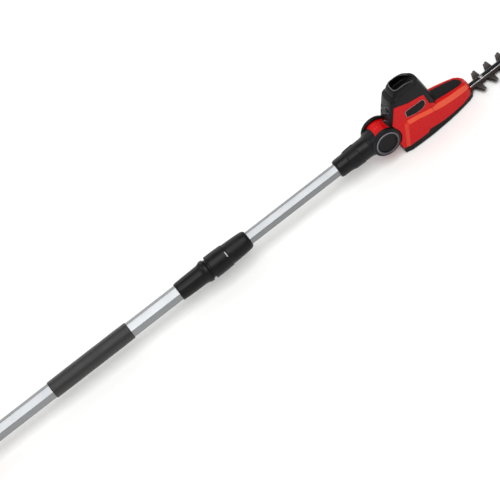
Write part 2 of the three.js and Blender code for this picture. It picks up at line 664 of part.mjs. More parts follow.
add(head, "lower_blade", blade(BLADE.lower, -2), "bladeSteel");
RIVETS.forEach((x, i) => add(head, "blade_rivet_" + (i + 1), rivet(x), "steel"));

const rear = groupOf("rear_handle");
add(rear, "handle_right", rightHalf(handle()), "redPlastic");
add(rear, "handle_left", leftHalf(handle()), "redPlastic");
add(rear, "trigger", trigger(), "blackPlastic");
add(rear, "trigger_pin", triggerPin(), "steel");
add(rear, "trigger_spring", triggerSpring(), "steel");
add(rear, "trigger_switch", triggerSwitch(), "blackPlastic");
add(rear, "lock_off_button", lockOffButton(), "blackPlastic");
add(rear, "battery_dock", batteryDock(), "blackPlastic");
add(rear, "handle_lead",
  cable([[-1296, 0, 0], [-1262, 6, 2], [-1240, 9, 8], [-1165, 11.4, 14], [-1112, 11.4, 14], [-1100, 8, 9],
    [-1093, 1, 2], [-1086, 0, 0]], 1.8, 6, 24),
  "softBlack");

const battery = groupOf("battery");
add(battery, "battery_front_case", batteryFront(), "blackPlastic");
add(battery, "battery_rear_case", batteryRear(), "blackPlastic");
add(battery, "battery_button", batteryButton(), "redPlastic");
for (let i = 0; i < 5; i++) add(battery, "cell_" + (i + 1), cell(i), "cell");

export default object;
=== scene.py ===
import math

import bmesh
import bpy
import numpy as np
from mathutils import Matrix, Vector


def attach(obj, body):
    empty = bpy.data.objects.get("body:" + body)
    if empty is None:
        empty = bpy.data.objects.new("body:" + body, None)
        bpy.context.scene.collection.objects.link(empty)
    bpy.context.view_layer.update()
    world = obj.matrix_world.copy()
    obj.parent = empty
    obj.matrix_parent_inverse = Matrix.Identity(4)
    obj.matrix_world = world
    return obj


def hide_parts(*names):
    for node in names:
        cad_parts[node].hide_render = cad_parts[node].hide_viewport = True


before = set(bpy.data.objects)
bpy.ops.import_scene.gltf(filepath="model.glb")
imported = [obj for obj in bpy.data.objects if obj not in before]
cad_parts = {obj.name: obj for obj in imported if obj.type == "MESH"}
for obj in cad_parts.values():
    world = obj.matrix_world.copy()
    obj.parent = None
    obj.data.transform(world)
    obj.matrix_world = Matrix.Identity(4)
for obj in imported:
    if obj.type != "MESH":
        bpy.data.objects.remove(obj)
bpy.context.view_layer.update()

# ---- the place it is seen in ----
# The trimmer lies on a pale sheet of paper under three soft boxes and an even white sky.
# The camera stands to its right and well above it, with a long lens.
ORIGIN = np.array([358.0, 0.0, 56.0])  # mm from the tilt axis to the middle of the ground line
PAPER = "#F4F4F2"
AZIMUTH, ELEVATION, ROLL = math.radians(-4), math.radians(46), 37.77
DISTANCE, LENS = 6.0, 220.0


def linear(code):
    """An sRGB hex colour as linear RGBA: each channel c above 0.04045 is ((c + 0.055) / 1.055) ^ 2.4."""
    c = np.array([int(code[i:i + 2], 16) for i in (1, 3, 5)]) / 255
    return (*np.where(c > 0.04045, ((c + 0.055) / 1.055) ** 2.4, c / 12.92), 1.0)


def add(tree, kind, inputs=None, **settings):
    """Adds one shader node; inputs gives a socket its value, or the output socket that feeds it."""
    node = tree.nodes.new("ShaderNode" + kind)
    for key, value in settings.items():
        setattr(node, key, value)
    for key, value in (inputs or {}).items():
        if isinstance(value, bpy.types.NodeSocket):
            tree.links.new(value, node.inputs[key])
        else:
            node.inputs[key].default_value = value
    return node


def surface(name):
    """A new material with its Principled shader, its tree and its Object coordinates."""
    material = bpy.data.materials.new(name)
    material.use_nodes = True
    tree = material.node_tree
    shader = tree.nodes["Principled BSDF"]
    coords = add(tree, "TexCoord").outputs["Object"]
    return material, tree, shader, coords


scene = bpy.context.scene
scene.view_settings.view_transform = "Standard"
across = Vector((math.cos(AZIMUTH), math.sin(AZIMUTH), 0))
upward = Vector((-math.sin(AZIMUTH) * math.sin(ELEVATION), math.cos(AZIMUTH) * math.sin(ELEVATION),
                 math.cos(ELEVATION)))
towards = across.cross(upward)
slant = math.radians(ROLL) - math.atan2(-math.sin(AZIMUTH) * math.sin(ELEVATION), math.cos(AZIMUTH))
right = across * math.cos(slant) - upward * math.sin(slant)
top = across * math.sin(slant) + upward * math.cos(slant)
aim = Vector((0.016, 0, 0.056)) + Vector((0, math.sin(ELEVATION), math.cos(ELEVATION))) * -0.020
lens = bpy.data.cameras.new("camera")
lens.lens, lens.sensor_width, lens.clip_end = LENS, 36.0, 100.0
camera = bpy.data.objects.new("camera", lens)
camera.matrix_world = Matrix((
    (right.x, top.x, towards.x, 0), (right.y, top.y, towards.y, 0), (right.z, top.z, towards.z, 0),
    (0, 0, 0, 1)))
camera.location = aim + towards * DISTANCE
scene.collection.objects.link(camera)
scene.camera = camera

sky = bpy.data.worlds.new("studio")
sky.use_nodes = True
sky.node_tree.nodes["Background"].inputs["Color"].default_value = (1, 1, 1, 1)
sky.node_tree.nodes["Background"].inputs["Strength"].default_value = 0.45
scene.world = sky


def softbox(name, place, size, watts):
    """A square area light of the given side in metres, aimed at the pole just behind the fork."""
    light = bpy.data.lights.new(name, "AREA")
    light.shape, light.size, light.energy = "SQUARE", size, watts
    lamp = bpy.data.objects.new(name, light)
    lamp.location = place
    lamp.rotation_euler = (Vector((0.2, 0, 0)) - Vector(place)).to_track_quat("-Z", "Y").to_euler()
    scene.collection.objects.link(lamp)


softbox("soft_box_overhead", (0.2, -1.6, 4.2), 3.4, 150)
softbox("soft_box_left", (-3.2, 1.6, 2.6), 1.6, 30)
softbox("soft_box_back", (0.3, 3.4, 1.5), 2.2, 26)

paper_finish, tree, shader, coords = surface("matt_paper")
fibre = add(tree, "TexNoise", {"Vector": coords, "Scale": 900.0, "Detail": 3.0})
shader.inputs["Base Color"].default_value = linear(PAPER)
shader.inputs["Emission Color"].default_value = (1, 1, 1, 1)
shader.inputs["Emission Strength"].default_value = 0.06
shader.inputs["Roughness"].default_value = 0.9
relief = add(tree, "Bump", {"Height": fibre.outputs["Fac"], "Strength": 0.05, "Distance": 0.0002})
tree.links.new(relief.outputs["Normal"], shader.inputs["Normal"])
paper = bpy.data.meshes.new("paper")
SHEET = [(-8, -8, -0.0004), (8, -8, -0.0004), (8, 8, -0.0004), (-8, 8, -0.0004)]  # metres
paper.from_pydata(SHEET, [], [(0, 1, 2, 3)])
paper.materials.append(paper_finish)
floor = bpy.data.objects.new("paper", paper)
scene.collection.objects.link(floor)

# ---- the telescopic tubes ----
# Two six-sided aluminium extrusions, 30 and 25 mm across flats with 1.5 mm walls, cut square and
# deburred. Silver anodising leaves a fine satin grain along the draw direction.
OUTER = {"flats": 30.0, "from": -1090.0, "to": -415.0}
INNER = {"flats": 25.0, "from": -865.0, "to": -50.0}
TUBE_WALL = 1.5
CORNER = 1.3  # corner radius of the extrusion


def soften(path, radius, steps=4, looped=False):
    """Rounds a path's corners. Each becomes the curve (1-t)^2 before + 2t(1-t) corner + t^2 after,
    where before and after lie radius away along its sides, or halfway if a side is short."""
    path = np.asarray(path, float)
    back, ahead = np.roll(path, 1, 0) - path, np.roll(path, -1, 0) - path
    short, long = (np.minimum(radius / np.maximum(np.linalg.norm(v, axis=1), 1e-9), 0.5)[:, None]
                   for v in (back, ahead))
    before, after = path + back * short, path + ahead * long
    t = np.linspace(0, 1, steps + 1)[None, :, None]
    curve = (1 - t) ** 2 * before[:, None] + 2 * t * (1 - t) * path[:, None] + t ** 2 * after[:, None]
    if looped:
        return curve.reshape(-1, path.shape[1])
    return np.concatenate([path[:1], curve[1:-1].reshape(-1, path.shape[1]), path[-1:]])


def shell(rows, looped=False):
    """A closed skin over rings of points: neighbours along and across rings make the faces, and the
    end rings close on their middles, or on each other if looped. Its volume's sign turns it outwards."""
    count, around = rows.shape[:2]
    index = np.arange(count * around).reshape(count, around)
    here, there = (index, np.roll(index, -1, 0)) if looped else (index[:-1], index[1:])
    quads = np.stack([here, np.roll(here, -1, 1), np.roll(there, -1, 1), there], -1).reshape(-1, 4)
    points = rows.reshape(-1, 3)
    p = points[quads]
    volume = np.einsum("ij,ij->", p[:, 0], np.cross(p[:, 1], p[:, 2]) + np.cross(p[:, 2], p[:, 3]))
    fans = np.zeros((0, 3), int)
    if not looped:
        middles = rows[[0, -1]].mean(1)
        points = np.concatenate([points, middles])
        first = np.stack([np.full(around, len(points) - 2), np.roll(index[0], -1), index[0]], -1)
        last = np.stack([np.full(around, len(points) - 1), index[-1], np.roll(index[-1], -1)], -1)
        fans = np.concatenate([first, last])
        p = points[fans]
        volume += np.einsum("ij,ij->", p[:, 0], np.cross(p[:, 1], p[:, 2]))
    if volume < 0:
        quads, fans = quads[:, ::-1], fans[:, ::-1]
    return points, quads.tolist() + fans.tolist()


def mesh_object(name, points, faces, finish, crease):
    """An object in metres, in its place, smooth except where faces meet at more than crease degrees."""
    mesh = bpy.data.meshes.new(name)
    mesh.from_pydata(((points + ORIGIN) / 1000).tolist(), [], faces)
    mesh.polygons.foreach_set("use_smooth", np.ones(len(mesh.polygons), bool))
    mesh.set_sharp_from_angle(angle=math.radians(crease))
    mesh.materials.append(finish)
    body = bpy.data.objects.new(name, mesh)
    scene.collection.objects.link(body)
    return body


def piece(name, finish, *shells, crease=38):
    """One object made of several closed skins."""
    starts = np.cumsum([0] + [len(points) for points, _ in shells])
    faces = [[corner + start for corner in face] for (_, fs), start in zip(shells, starts) for face in fs]
    return mesh_object(name, np.concatenate([points for points, _ in shells]), faces, finish, crease)


def hexagon(flats, corner):
    """A six-sided outline [y, z] with a corner at the top and rounded corners."""
    angle = np.pi / 2 + np.arange(6) * np.pi / 3
    return soften(flats / math.sqrt(3) * np.stack([np.cos(angle), np.sin(angle)], 1), corner, 5, True)


def tube(flats, start, end):
    """Rings along a tube's outside and back along its bore, with a 0.4 mm deburred edge."""
    outline = hexagon(flats, CORNER)
    edge, bore = 1 - 0.8 / flats, 1 - 2 * TUBE_WALL / flats
    stations = [(start, edge), (start + 0.4, 1), (end - 0.4, 1), (end, edge), (end, bore), (start, bore)]
    return np.stack([np.column_stack([np.full(len(outline), x), outline * s]) for x, s in stations])


def anodised(name, colour, dark):
    """Silver anodised aluminium extrusion: fine lines 0.25 mm apart drawn along the tube, a soft
    cloudiness every 60 mm and faint handling marks. Metallic, satin, with no clear coat."""
    material, tree, shader, coords = surface(name)
    drawn = add(tree, "Mapping", {"Vector": coords, "Scale": (4.0, 4000.0, 4000.0)})
    lines = add(tree, "TexNoise", {"Vector": drawn.outputs["Vector"], "Scale": 1.0, "Detail": 2.0})
    cloud = add(tree, "TexNoise", {"Vector": coords, "Scale": 16.0, "Detail": 3.0})
    marks = add(tree, "TexNoise", {"Vector": coords, "Scale": 140.0, "Detail": 6.0, "Roughness": 0.7})
    scuffs = add(tree, "MapRange", {"Value": marks.outputs["Fac"], "From Min": 0.62, "From Max": 0.78,
                                    "To Min": 0.0, "To Max": 0.12})
    amount = add(tree, "Math", {0: lines.outputs["Fac"], 1: 0.35}, operation="MULTIPLY")
    total = add(tree, "Math", {0: amount.outputs[0], 1: scuffs.outputs["Result"]}, operation="ADD")
    tone = add(tree, "Mix", {"Factor": total.outputs[0], "A": linear(colour), "B": linear(dark)},
               data_type="RGBA")
    gloss = add(tree, "MapRange", {"Value": cloud.outputs["Fac"], "To Min": 0.30, "To Max": 0.44})
    bump = add(tree, "Bump", {"Height": lines.outputs["Fac"], "Strength": 0.25, "Distance": 0.00003})
    tree.links.new(tone.outputs["Result"], shader.inputs["Base Color"])
    tree.links.new(gloss.outputs["Result"], shader.inputs["Roughness"])
    tree.links.new(bump.outputs["Normal"], shader.inputs["Normal"])
    shader.inputs["Metallic"].default_value = 0.9
    return material


silver = anodised("anodised_aluminium_extruded", "#939597", "#717375")
silver_inner = anodised("anodised_aluminium_worn", "#8C8E90", "#66686A")
outer_rows = tube(OUTER["flats"], OUTER["from"], OUTER["to"])
outer_tube = piece("outer_pole_tube", silver, shell(outer_rows, True))
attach(outer_tube, "pole")
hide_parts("outer_tube")
inner_rows = tube(INNER["flats"], INNER["from"], INNER["to"])
inner_tube = piece("inner_pole_tube", silver_inner, shell(inner_rows, True))
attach(inner_tube, "upper_pole")
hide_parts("inner_tube")

# ---- the foam hand grip ----
# A closed-cell rubber foam sleeve, 193 mm long and about 3.5 mm thick, pushed over the outer tube.
# It keeps a trace of the six flats, is a little fuller at the middle and is trimmed square.
GRIP = {"from": -817.0, "to": -624.0, "r": 18.9, "bore": 17.2}


def foam_rows():
    """Rings of r = 18.9 less 0.45 on the six flats, 0.25 less towards the ends and rounded over the
    last 2 mm; then the end faces and the bore."""
    x = np.concatenate([GRIP["from"] + 2 * (1 - np.cos(np.linspace(0, np.pi / 2, 6))),
                        np.linspace(GRIP["from"] + 3, GRIP["to"] - 3, 90),
                        GRIP["to"] - 2 * (1 - np.cos(np.linspace(np.pi / 2, 0, 6)))])
    edge = np.clip(np.minimum(x - GRIP["from"], GRIP["to"] - x) / 2, 0, 1)
    middle = (x - GRIP["from"]) / (GRIP["to"] - GRIP["from"]) * 2 - 1
    radius = GRIP["r"] - 0.25 * middle ** 4 - 1.3 * (1 - np.sqrt(1 - (1 - edge) ** 2))
    angle = np.arange(72) * np.pi / 36
    flats = 0.225 * (1 + np.cos(6 * angle)) + 0.06 * np.sin(x[:, None] * 0.11 + 2 * angle)
    r = radius[:, None] - flats
    r = np.concatenate([r, np.full((2, 72), GRIP["bore"])])
    x = np.concatenate([x, [GRIP["to"] - 1.2, GRIP["from"] + 1.2]])
    return np.stack([x[:, None] + 0 * r, r * np.cos(angle), r * np.sin(angle)], -1)


foam_finish, tree, shader, coords = surface("nitrile_foam_skinned")
# Skinned rubber foam: near black, satin from hand wear, with cells about 0.5 mm across that show as
# a fine pebble, and slow changes in sheen every 20 mm.
cells = add(tree, "TexVoronoi", {"Vector": coords, "Scale": 1700.0})
cloud = add(tree, "TexNoise", {"Vector": coords, "Scale": 50.0, "Detail": 4.0})
tone = add(tree, "Mix", {"Factor": cloud.outputs["Fac"], "A": linear("#0B0B0C"), "B": linear("#171718")},
           data_type="RGBA")
gloss = add(tree, "MapRange", {"Value": cloud.outputs["Fac"], "To Min": 0.42, "To Max": 0.62})
pebble = add(tree, "Bump", {"Height": cells.outputs["Distance"], "Strength": 0.5, "Distance": 0.00025})
tree.links.new(tone.outputs["Result"], shader.inputs["Base Color"])
tree.links.new(gloss.outputs["Result"], shader.inputs["Roughness"])
tree.links.new(pebble.outputs["Normal"], shader.inputs["Normal"])
shader.inputs["Sheen Weight"].default_value = 0.15
grip = piece("foam_hand_grip", foam_finish, shell(foam_rows(), True), crease=60)
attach(grip, "pole")
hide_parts("foam_grip")

# ---- the clamp collar and twist sleeve ----
# Glass-filled nylon mouldings. The collar is fixed to the outer tube; the sleeve turns on its thread
# and squeezes a split collet ring on to the inner tube. Fine ribs give the fingers a hold.
def moulded(name, colour, pale, gloss, grain, relief, worn=0.10):
    """Injection-moulded plastic: a spark-eroded grain (size and relief in mm), a cloudy tone between
    two colours every 40 mm, sheen that varies with it, and paler rubbed edges. Values stored on the
    points mix a painted highlight in pale grey and painted shade in near black into the colour."""
    material, tree, shader, coords = surface(name)
    cloud = add(tree, "TexNoise", {"Vector": coords, "Scale": 25.0, "Detail": 4.0})
    speck = add(tree, "TexNoise", {"Vector": coords, "Scale": 1000.0 / grain, "Detail": 2.0})
    edge = add(tree, "NewGeometry")
    rub = add(tree, "MapRange", {"Value": edge.outputs["Pointiness"], "From Min": 0.53, "From Max": 0.62,
                                 "To Min": 0.0, "To Max": worn})
    tint = add(tree, "MapRange", {"Value": cloud.outputs["Fac"], "From Min": 0.35, "From Max": 0.7,
                                  "To Min": 0.0, "To Max": 0.25})
    amount = add(tree, "Math", {0: tint.outputs["Result"], 1: rub.outputs["Result"]}, operation="ADD")
    tone = add(tree, "Mix", {"Factor": amount.outputs[0], "A": linear(colour), "B": linear(pale)},
               data_type="RGBA")
    # Painted highlight in pale grey and painted shade in near black, by the values stored on the points.
    for attribute, code in (("painted_highlight", "#85858C"), ("painted_shade", "#010101")):
        where = add(tree, "Attribute", attribute_name=attribute)
        tone = add(tree, "Mix", {"Factor": where.outputs["Fac"], "A": tone.outputs["Result"],
                                 "B": linear(code)}, data_type="RGBA")
    sheen = add(tree, "MapRange", {"Value": cloud.outputs["Fac"], "To Min": gloss - 0.05,
                                   "To Max": gloss + 0.07})
    bump = add(tree, "Bump", {"Height": speck.outputs["Fac"], "Strength": 0.4, "Distance": relief / 1000})
    tree.links.new(tone.outputs["Result"], shader.inputs["Base Color"])
    tree.links.new(sheen.outputs["Result"], shader.inputs["Roughness"])
    tree.links.new(bump.outputs["Normal"], shader.inputs["Normal"])
    shader.inputs["Specular IOR Level"].default_value = 0.17
    return material


def spaced(path, count):
    """The path again, with count points at equal distances along it."""
    path = np.asarray(path, float)
    length = np.concatenate([[0], np.cumsum(np.linalg.norm(np.diff(path, axis=0), axis=1))])
    along = np.linspace(0, length[-1], count)
    return np.stack([np.interp(along, length, path[:, k]) for k in range(path.shape[1])], 1)


def turned(profile, sides, axis="x", at=(0.0, 0.0)):
    """Rings of a turned part: each profile point [along, radius] goes round the axis through at."""
    along, radius = np.asarray(profile, float).T
    angle = np.arange(sides) * 2 * np.pi / sides
    one = at[0] + radius[:, None] * np.cos(angle)
    two = at[1] + radius[:, None] * np.sin(angle)
    flat = along[:, None] + 0 * one
    order = {"x": (flat, one, two), "y": (one, flat, two), "z": (one, two, flat)}[axis]
    return np.stack(order, -1)


def ribbed(rows, start, end, count, depth, fade=2.0):
    """The same rings with lengthwise ribs between start and end: the radius swings by depth as
    |cos(count * angle / 2)|, fading in over a few millimetres at either end."""
    x = rows[..., 0]
    angle = np.arctan2(rows[..., 2], rows[..., 1])
    inside = np.clip(np.minimum(x - start, end - x) / fade, 0, 1)
    radius = np.maximum(np.hypot(rows[..., 1], rows[..., 2]), 1e-6)
    scale = 1 - inside * depth * (1 - np.abs(np.cos(count * angle / 2))) / radius
    return rows * np.stack([np.ones_like(scale), scale, scale], -1)


def dress(finish, *names):
    """Gives parts that are shown as they were drawn their material."""
    for name in names:
        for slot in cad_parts[name].material_slots:
            slot.material = finish


nylon = moulded("glass_filled_nylon_black", "#0C0C0D", "#2A2A2D", 0.36, 0.5, 0.03)
collar_line = soften([[-504, 17.5], [-504, 18.3], [-499, 19.2], [-482, 19.9], [-449, 20.5], [-445, 20.8],
                      [-440.5, 22.4], [-438.6, 23.6], [-431.4, 23.9], [-430.6, 21.6], [-429.4, 20.9],
                      [-426.4, 20.4], [-376.5, 20.4], [-376, 19.9], [-376, 17.5], [-376.5, 17.3],
                      [-414, 17.3], [-414.6, 17.5]], 0.7, 4)
collar_rows = turned(spaced(np.vstack([collar_line, [[-504, 17.5]]]), 190), 144)
collar_rows = ribbed(collar_rows, -498, -446, 24, 0.22)[:-1]
collar = piece("clamp_collar_shell", nylon, shell(collar_rows, True), crease=35)
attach(collar, "pole")
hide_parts("clamp_collar")

sleeve_line = soften([[-425.2, 20.9], [-425.2, 24.1], [-424.4, 24.8], [-404, 24.75], [-388, 24.15],
                      [-384.2, 23.95], [-382.4, 22.6], [-373, 22.3], [-357, 21.7], [-343, 20.8],
                      [-335.4, 19.8], [-331.2, 17.6], [-330, 15.6], [-330, 14.9], [-346, 14.9],
                      [-346, 16.6], [-350, 17.8], [-368, 19.2], [-372, 20.9]], 0.8, 4)
sleeve_rows = turned(spaced(np.vstack([sleeve_line, [[-425.2, 20.9]]]), 230), 216)[:-1]
outside = np.hypot(sleeve_rows[..., 1], sleeve_rows[..., 2]) > 19.4
fluted = ribbed(ribbed(sleeve_rows, -416.5, -408, 72, 0.35, 1.0), -378, -344, 36, 0.30, 3.0)
sleeve_rows = np.where(outside[..., None], fluted, sleeve_rows)
sleeve = piece("twist_lock_sleeve", nylon, shell(sleeve_rows, True), crease=35)
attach(sleeve, "lock_sleeve")
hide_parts("twist_sleeve")


def patch(outline, lift, angle_of, base):
    """A low raised pad on a round part. Rings shrink from the outline [x, degrees] to its middle;
    their height goes from just under the skin, base, up to base + lift with a rounded edge."""
    ring = spaced(np.vstack([soften(outline, 1.2, 4, True), soften(outline, 1.2, 4, True)[:1]]), 61)[:-1]
    middle = ring.mean(0)
    sizes = np.array([1.0, 1.0, 0.97, 0.93, 0.6, 0.15])
    heights = base + np.array([-1.0, 0.5, 0.92, 1.0, 1.0, 1.0]) * lift
    flat = middle + (ring - middle) * sizes[:, None, None]
    angle = np.radians(flat[..., 1] + angle_of)
    return np.stack([flat[..., 0], heights[:, None] * np.cos(angle), heights[:, None] * np.sin(angle)], -1)


# A pale grey bar laid on the sleeve's step where its chamfer catches the light: a painted highlight.
highlight_bar_finish = moulded("pale_grey_painted_highlight", "#A9A9A6", "#D0D0CC", 0.34, 0.4, 0.02)
highlight_bar_rows = patch([[-386.4, -14], [-384.2, -14], [-384.2, 14], [-386.4, 14]], 0.5, 129, 23.8)
highlight_bar = piece("step_highlight_bar", highlight_bar_finish, shell(highlight_bar_rows))
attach(highlight_bar, "lock_sleeve")

dress(nylon, "collet_ring", "slide_bush")

# ---- the leads inside the pole ----
# A PVC-sheathed supply lead, coiled inside the tubes so that it stretches as the pole is drawn out,
# with short straight runs through the tilt joint and along the handle.
pvc = moulded("pvc_sheath_black", "#141414", "#2E2E2E", 0.45, 0.3, 0.02, 0.0)


def coil(start, end, radius, wire, pitch, around=7, per_turn=14):
    """A helix along the pole: the middle of the wire is [x, r cos a, r sin a] with x rising by pitch
    each turn, and a ring of the wire's radius stands square to the helix at each step."""
    turns = (end - start) / pitch
    a = np.linspace(0, 2 * np.pi * turns, int(turns * per_turn))
    middle = np.stack([start + pitch * a / (2 * np.pi), radius * np.cos(a), radius * np.sin(a)], -1)
    out = np.stack([0 * a, np.cos(a), np.sin(a)], -1)
    along = np.stack([pitch / (2 * np.pi) + 0 * a, -radius * np.sin(a), radius * np.cos(a)], -1)
    side = np.cross(along / np.linalg.norm(along, axis=1, keepdims=True), out)
    b = np.arange(around)[None, :, None] * 2 * np.pi / around
    return middle[:, None] + wire * (np.cos(b) * out[:, None] + np.sin(b) * side[:, None])


lead = piece("coiled_supply_lead", pvc, shell(coil(-1083, -57, 4.1, 1.3, 5.2)), crease=80)
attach(lead, "upper_pole")
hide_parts("coiled_lead")


def sheathed(route, radius, count=60, around=12):
    """A round lead along a route rounded at its corners; each ring lies square to the route."""
    middle = spaced(soften(route, 12, 8), count)
    along = np.gradient(middle, axis=0)
    along /= np.linalg.norm(along, axis=1, keepdims=True)
    side = np.cross(along, [0.0, 1.0, 0.0])
    side /= np.maximum(np.linalg.norm(side, axis=1, keepdims=True), 1e-6)
    other = np.cross(along, side)
    b = np.arange(around)[None, :, None] * 2 * np.pi / around
    return middle[:, None] + radius * (np.cos(b) * side[:, None] + np.sin(b) * other[:, None])


neck_lead = piece("neck_supply_lead", pvc, shell(sheathed([[-48, 0, 0], [-30, 0, 0], [-5, 0, 0]], 2.9, 12)))
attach(neck_lead, "upper_pole")
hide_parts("neck_lead")
head_lead = piece("head_supply_lead", pvc, shell(sheathed(
    [[5, 0, 0], [20, 0, 2], [38, 0, 18], [50, 0, 40], [58, 0, 58]], 2.9, 40)))
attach(head_lead, "head")
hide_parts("head_lead")
handle_lead = piece("handle_supply_lead", pvc, shell(sheathed(
    [[-1296, 0, 0], [-1262, 6, 2], [-1240, 9, 8], [-1165, 11.4, 14], [-1112, 11.4, 14], [-1100, 8, 9],
     [-1093, 1, 2], [-1086, 0, 0]], 1.7, 90)))
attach(handle_lead, "pole")
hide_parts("handle_lead")

# ---- the fork and its lock buttons ----
# Two glass-filled nylon shells screwed together round the tube's end. The neck carries low pads, and
# flares into two round arms, each with a proud ring round a spring-loaded push button.
ARM = {"r": 32.0, "inside": 18.5, "face": 26.5, "ring": 30.2, "ring_r": 25.4, "pocket": 21.0}
HOLLOW_R = 27.6  # radius of the hollow in the fork that the head's barrel turns in
NECK = np.array([  # x, half-width, half-height, squareness of the section
    [-110, 16.9, 16.9, 2.0], [-108.6, 18.2, 18.2, 2.0], [-106, 19.1, 19.1, 2.0], [-102, 19.5, 19.5, 2.0],
    [-88, 19.7, 19.7, 2.0], [-83, 20.5, 20.5, 2.0], [-72, 21.6, 21.6, 2.0], [-60, 22.0, 22.0, 2.0],
    [-48, 22.2, 22.0, 2.0], [-40, 22.4, 21.9, 2.0], [-34, 22.9, 22.0, 2.1], [-28, 24.2, 22.6, 2.5],
    [-22, 25.7, 23.4, 3.0], [-17, 26.2, 24.2, 3.2], [-12, 26.3, 24.6, 3.4], [-7, 26.3, 24.6, 3.4]])
PADS = [  # x from, x to, degrees from, degrees to, lift: pads and the channel beside the upper pad
    (-82, -57, 121, 149, 0.9), (-82, -57, 112, 120, -1.0), (-80.5, -54, 178, 214, 1.3)]


def box_mask(value, low, high, soft):
    """1 between low and high, 0 outside, changing over soft."""
    return np.clip((value - low) / soft + 0.5, 0, 1) * np.clip((high - value) / soft + 0.5, 0, 1)


def neck_rows():
    """Superellipse rings |y/a|^p + |z/b|^p = 1 along the neck, with pads and a parting groove, then
    closed by a face hollowed for the barrel: x = -sqrt(27.6^2 - z^2) between the arms."""
    x = np.concatenate([np.linspace(-110, -102, 14), np.linspace(-101, -40, 78), np.linspace(-39, -7, 36)])
    a, b, p = (np.interp(x, NECK[:, 0], NECK[:, k]) for k in (1, 2, 3))
    angle = np.arange(216) * np.pi / 108
    c, s = np.cos(angle), np.sin(angle)
    r = (np.abs(c / a[:, None]) ** p[:, None] + np.abs(s / b[:, None]) ** p[:, None]) ** (-1 / p[:, None])
    degrees = np.degrees(angle)[None, :]
    for start, end, low, high, lift in PADS:
        for side in (degrees, (540 - degrees) % 360):
            r = r + lift * box_mask(x[:, None], start, end, 1.0) * box_mask(side, low, high, 3.0)
    r = r - 0.35 * np.exp(-(r * c / 0.35) ** 2) * (x[:, None] > -109)
    outside = np.stack([x[:, None] + 0 * r, r * c, r * s], -1)
    sizes = np.concatenate([[0.985], np.linspace(0.96, 0.1, 26)])
    face = outside[-1][None] * np.stack([np.ones(27), sizes, sizes], -1)[:, None]
    hollow = -np.sqrt(np.maximum(HOLLOW_R ** 2 - face[..., 2] ** 2, 80.0))
    between = np.clip((18.9 - np.abs(face[..., 1])) / 0.6, 0, 1)
    face[..., 0] = -7 * (1 - between) + hollow * between
    return np.concatenate([outside, face])


def arm_rows(side):
    """A turned arm about the tilt axis: inner face, rounded disc, proud ring with broad chamfers and
    the pocket for the button."""
    inside, face, crown = ARM["inside"], ARM["face"], ARM["ring"]
    profile = soften([[inside, 8.2], [inside, 31], [inside + 1, ARM["r"]], [face - 1.4, ARM["r"]],
                      [face, 30.6], [face, 26.2], [face + 0.9, ARM["ring_r"]], [crown - 1.1, ARM["ring_r"]],
                      [crown, 24.2], [crown, 22.9], [crown - 1.9, ARM["pocket"]], [20.4, ARM["pocket"]],
                      [20.4, 8.2]], 0.7, 5, True)
    return turned(profile * [side, 1], 120, "y")


def paint(body, attribute, value_of):
    """Stores value_of(points in mm) on the body's points under a name that its material reads."""
    places = np.empty(len(body.data.vertices) * 3)
    body.data.vertices.foreach_get("co", places)
    layer = body.data.attributes.new(attribute, "FLOAT", "POINT")
    layer.data.foreach_set("value", value_of(places.reshape(-1, 3) * 1000 - ORIGIN))


fork_nylon = moulded("glass_filled_nylon_satin", "#0D0D0E", "#2E2E32", 0.33, 0.5, 0.03)
arms = [shell(arm_rows(side), True) for side in (-1, 1)]
fork = piece("tilt_fork", fork_nylon, shell(neck_rows()), *arms, crease=32)


def ring_chamfer_highlights(points):
    """Painted highlights on the ring's two chamfers: 25.6 to 23.9 mm and 23.2 to 21.8 mm out."""
    radius, out = np.hypot(points[:, 0], points[:, 2]), np.abs(points[:, 1])
    return 0.75 * (out > 28.6) * (box_mask(radius, 23.9, 26, 0.5) + 0.5 * box_mask(radius, 21.6, 23.1, 0.5))


# Painted highlights on the chamfers of the arms' proud rings.
paint(fork, "painted_highlight", ring_chamfer_highlights)
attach(fork, "upper_pole")
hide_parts("fork_right", "fork_left")

button_nylon = moulded("nylon_fine_matt_black", "#080809", "#18181A", 0.42, 0.3, 0.03)
spring_steel, tree, shader, coords = surface("spring_steel_drawn")
# Drawn spring wire: dull grey, faint die lines about 0.1 mm apart.
die = add(tree, "TexNoise", {"Vector": coords, "Scale": 3000.0, "Detail": 1.0})
dull = add(tree, "MapRange", {"Value": die.outputs["Fac"], "To Min": 0.28, "To Max": 0.45})
tree.links.new(dull.outputs["Result"], shader.inputs["Roughness"])
shader.inputs["Base Color"].default_value = linear("#9A9A9C")
shader.inputs["Metallic"].default_value = 1.0
for side, hand in ((-1, "right"), (1, "left")):
    dished = soften([[27.5, 1.0], [27.6, 12], [27.8, 17.6], [28.1, 18.6], [28.1, 19.4], [27.1, 20.6],
                     [24.8, 20.6], [24.8, 7.7], [16, 7.7], [15.4, 7.1], [15.4, 1.0]], 0.6, 4)
    button = piece("tilt_lock_button_" + hand, button_nylon, shell(turned(dished * [side, 1], 96, "y")))
    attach(button, "tilt_button_" + hand)
    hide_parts("lock_button_" + hand)
    dress(spring_steel, "button_spring_" + hand, "ratchet_" + hand)
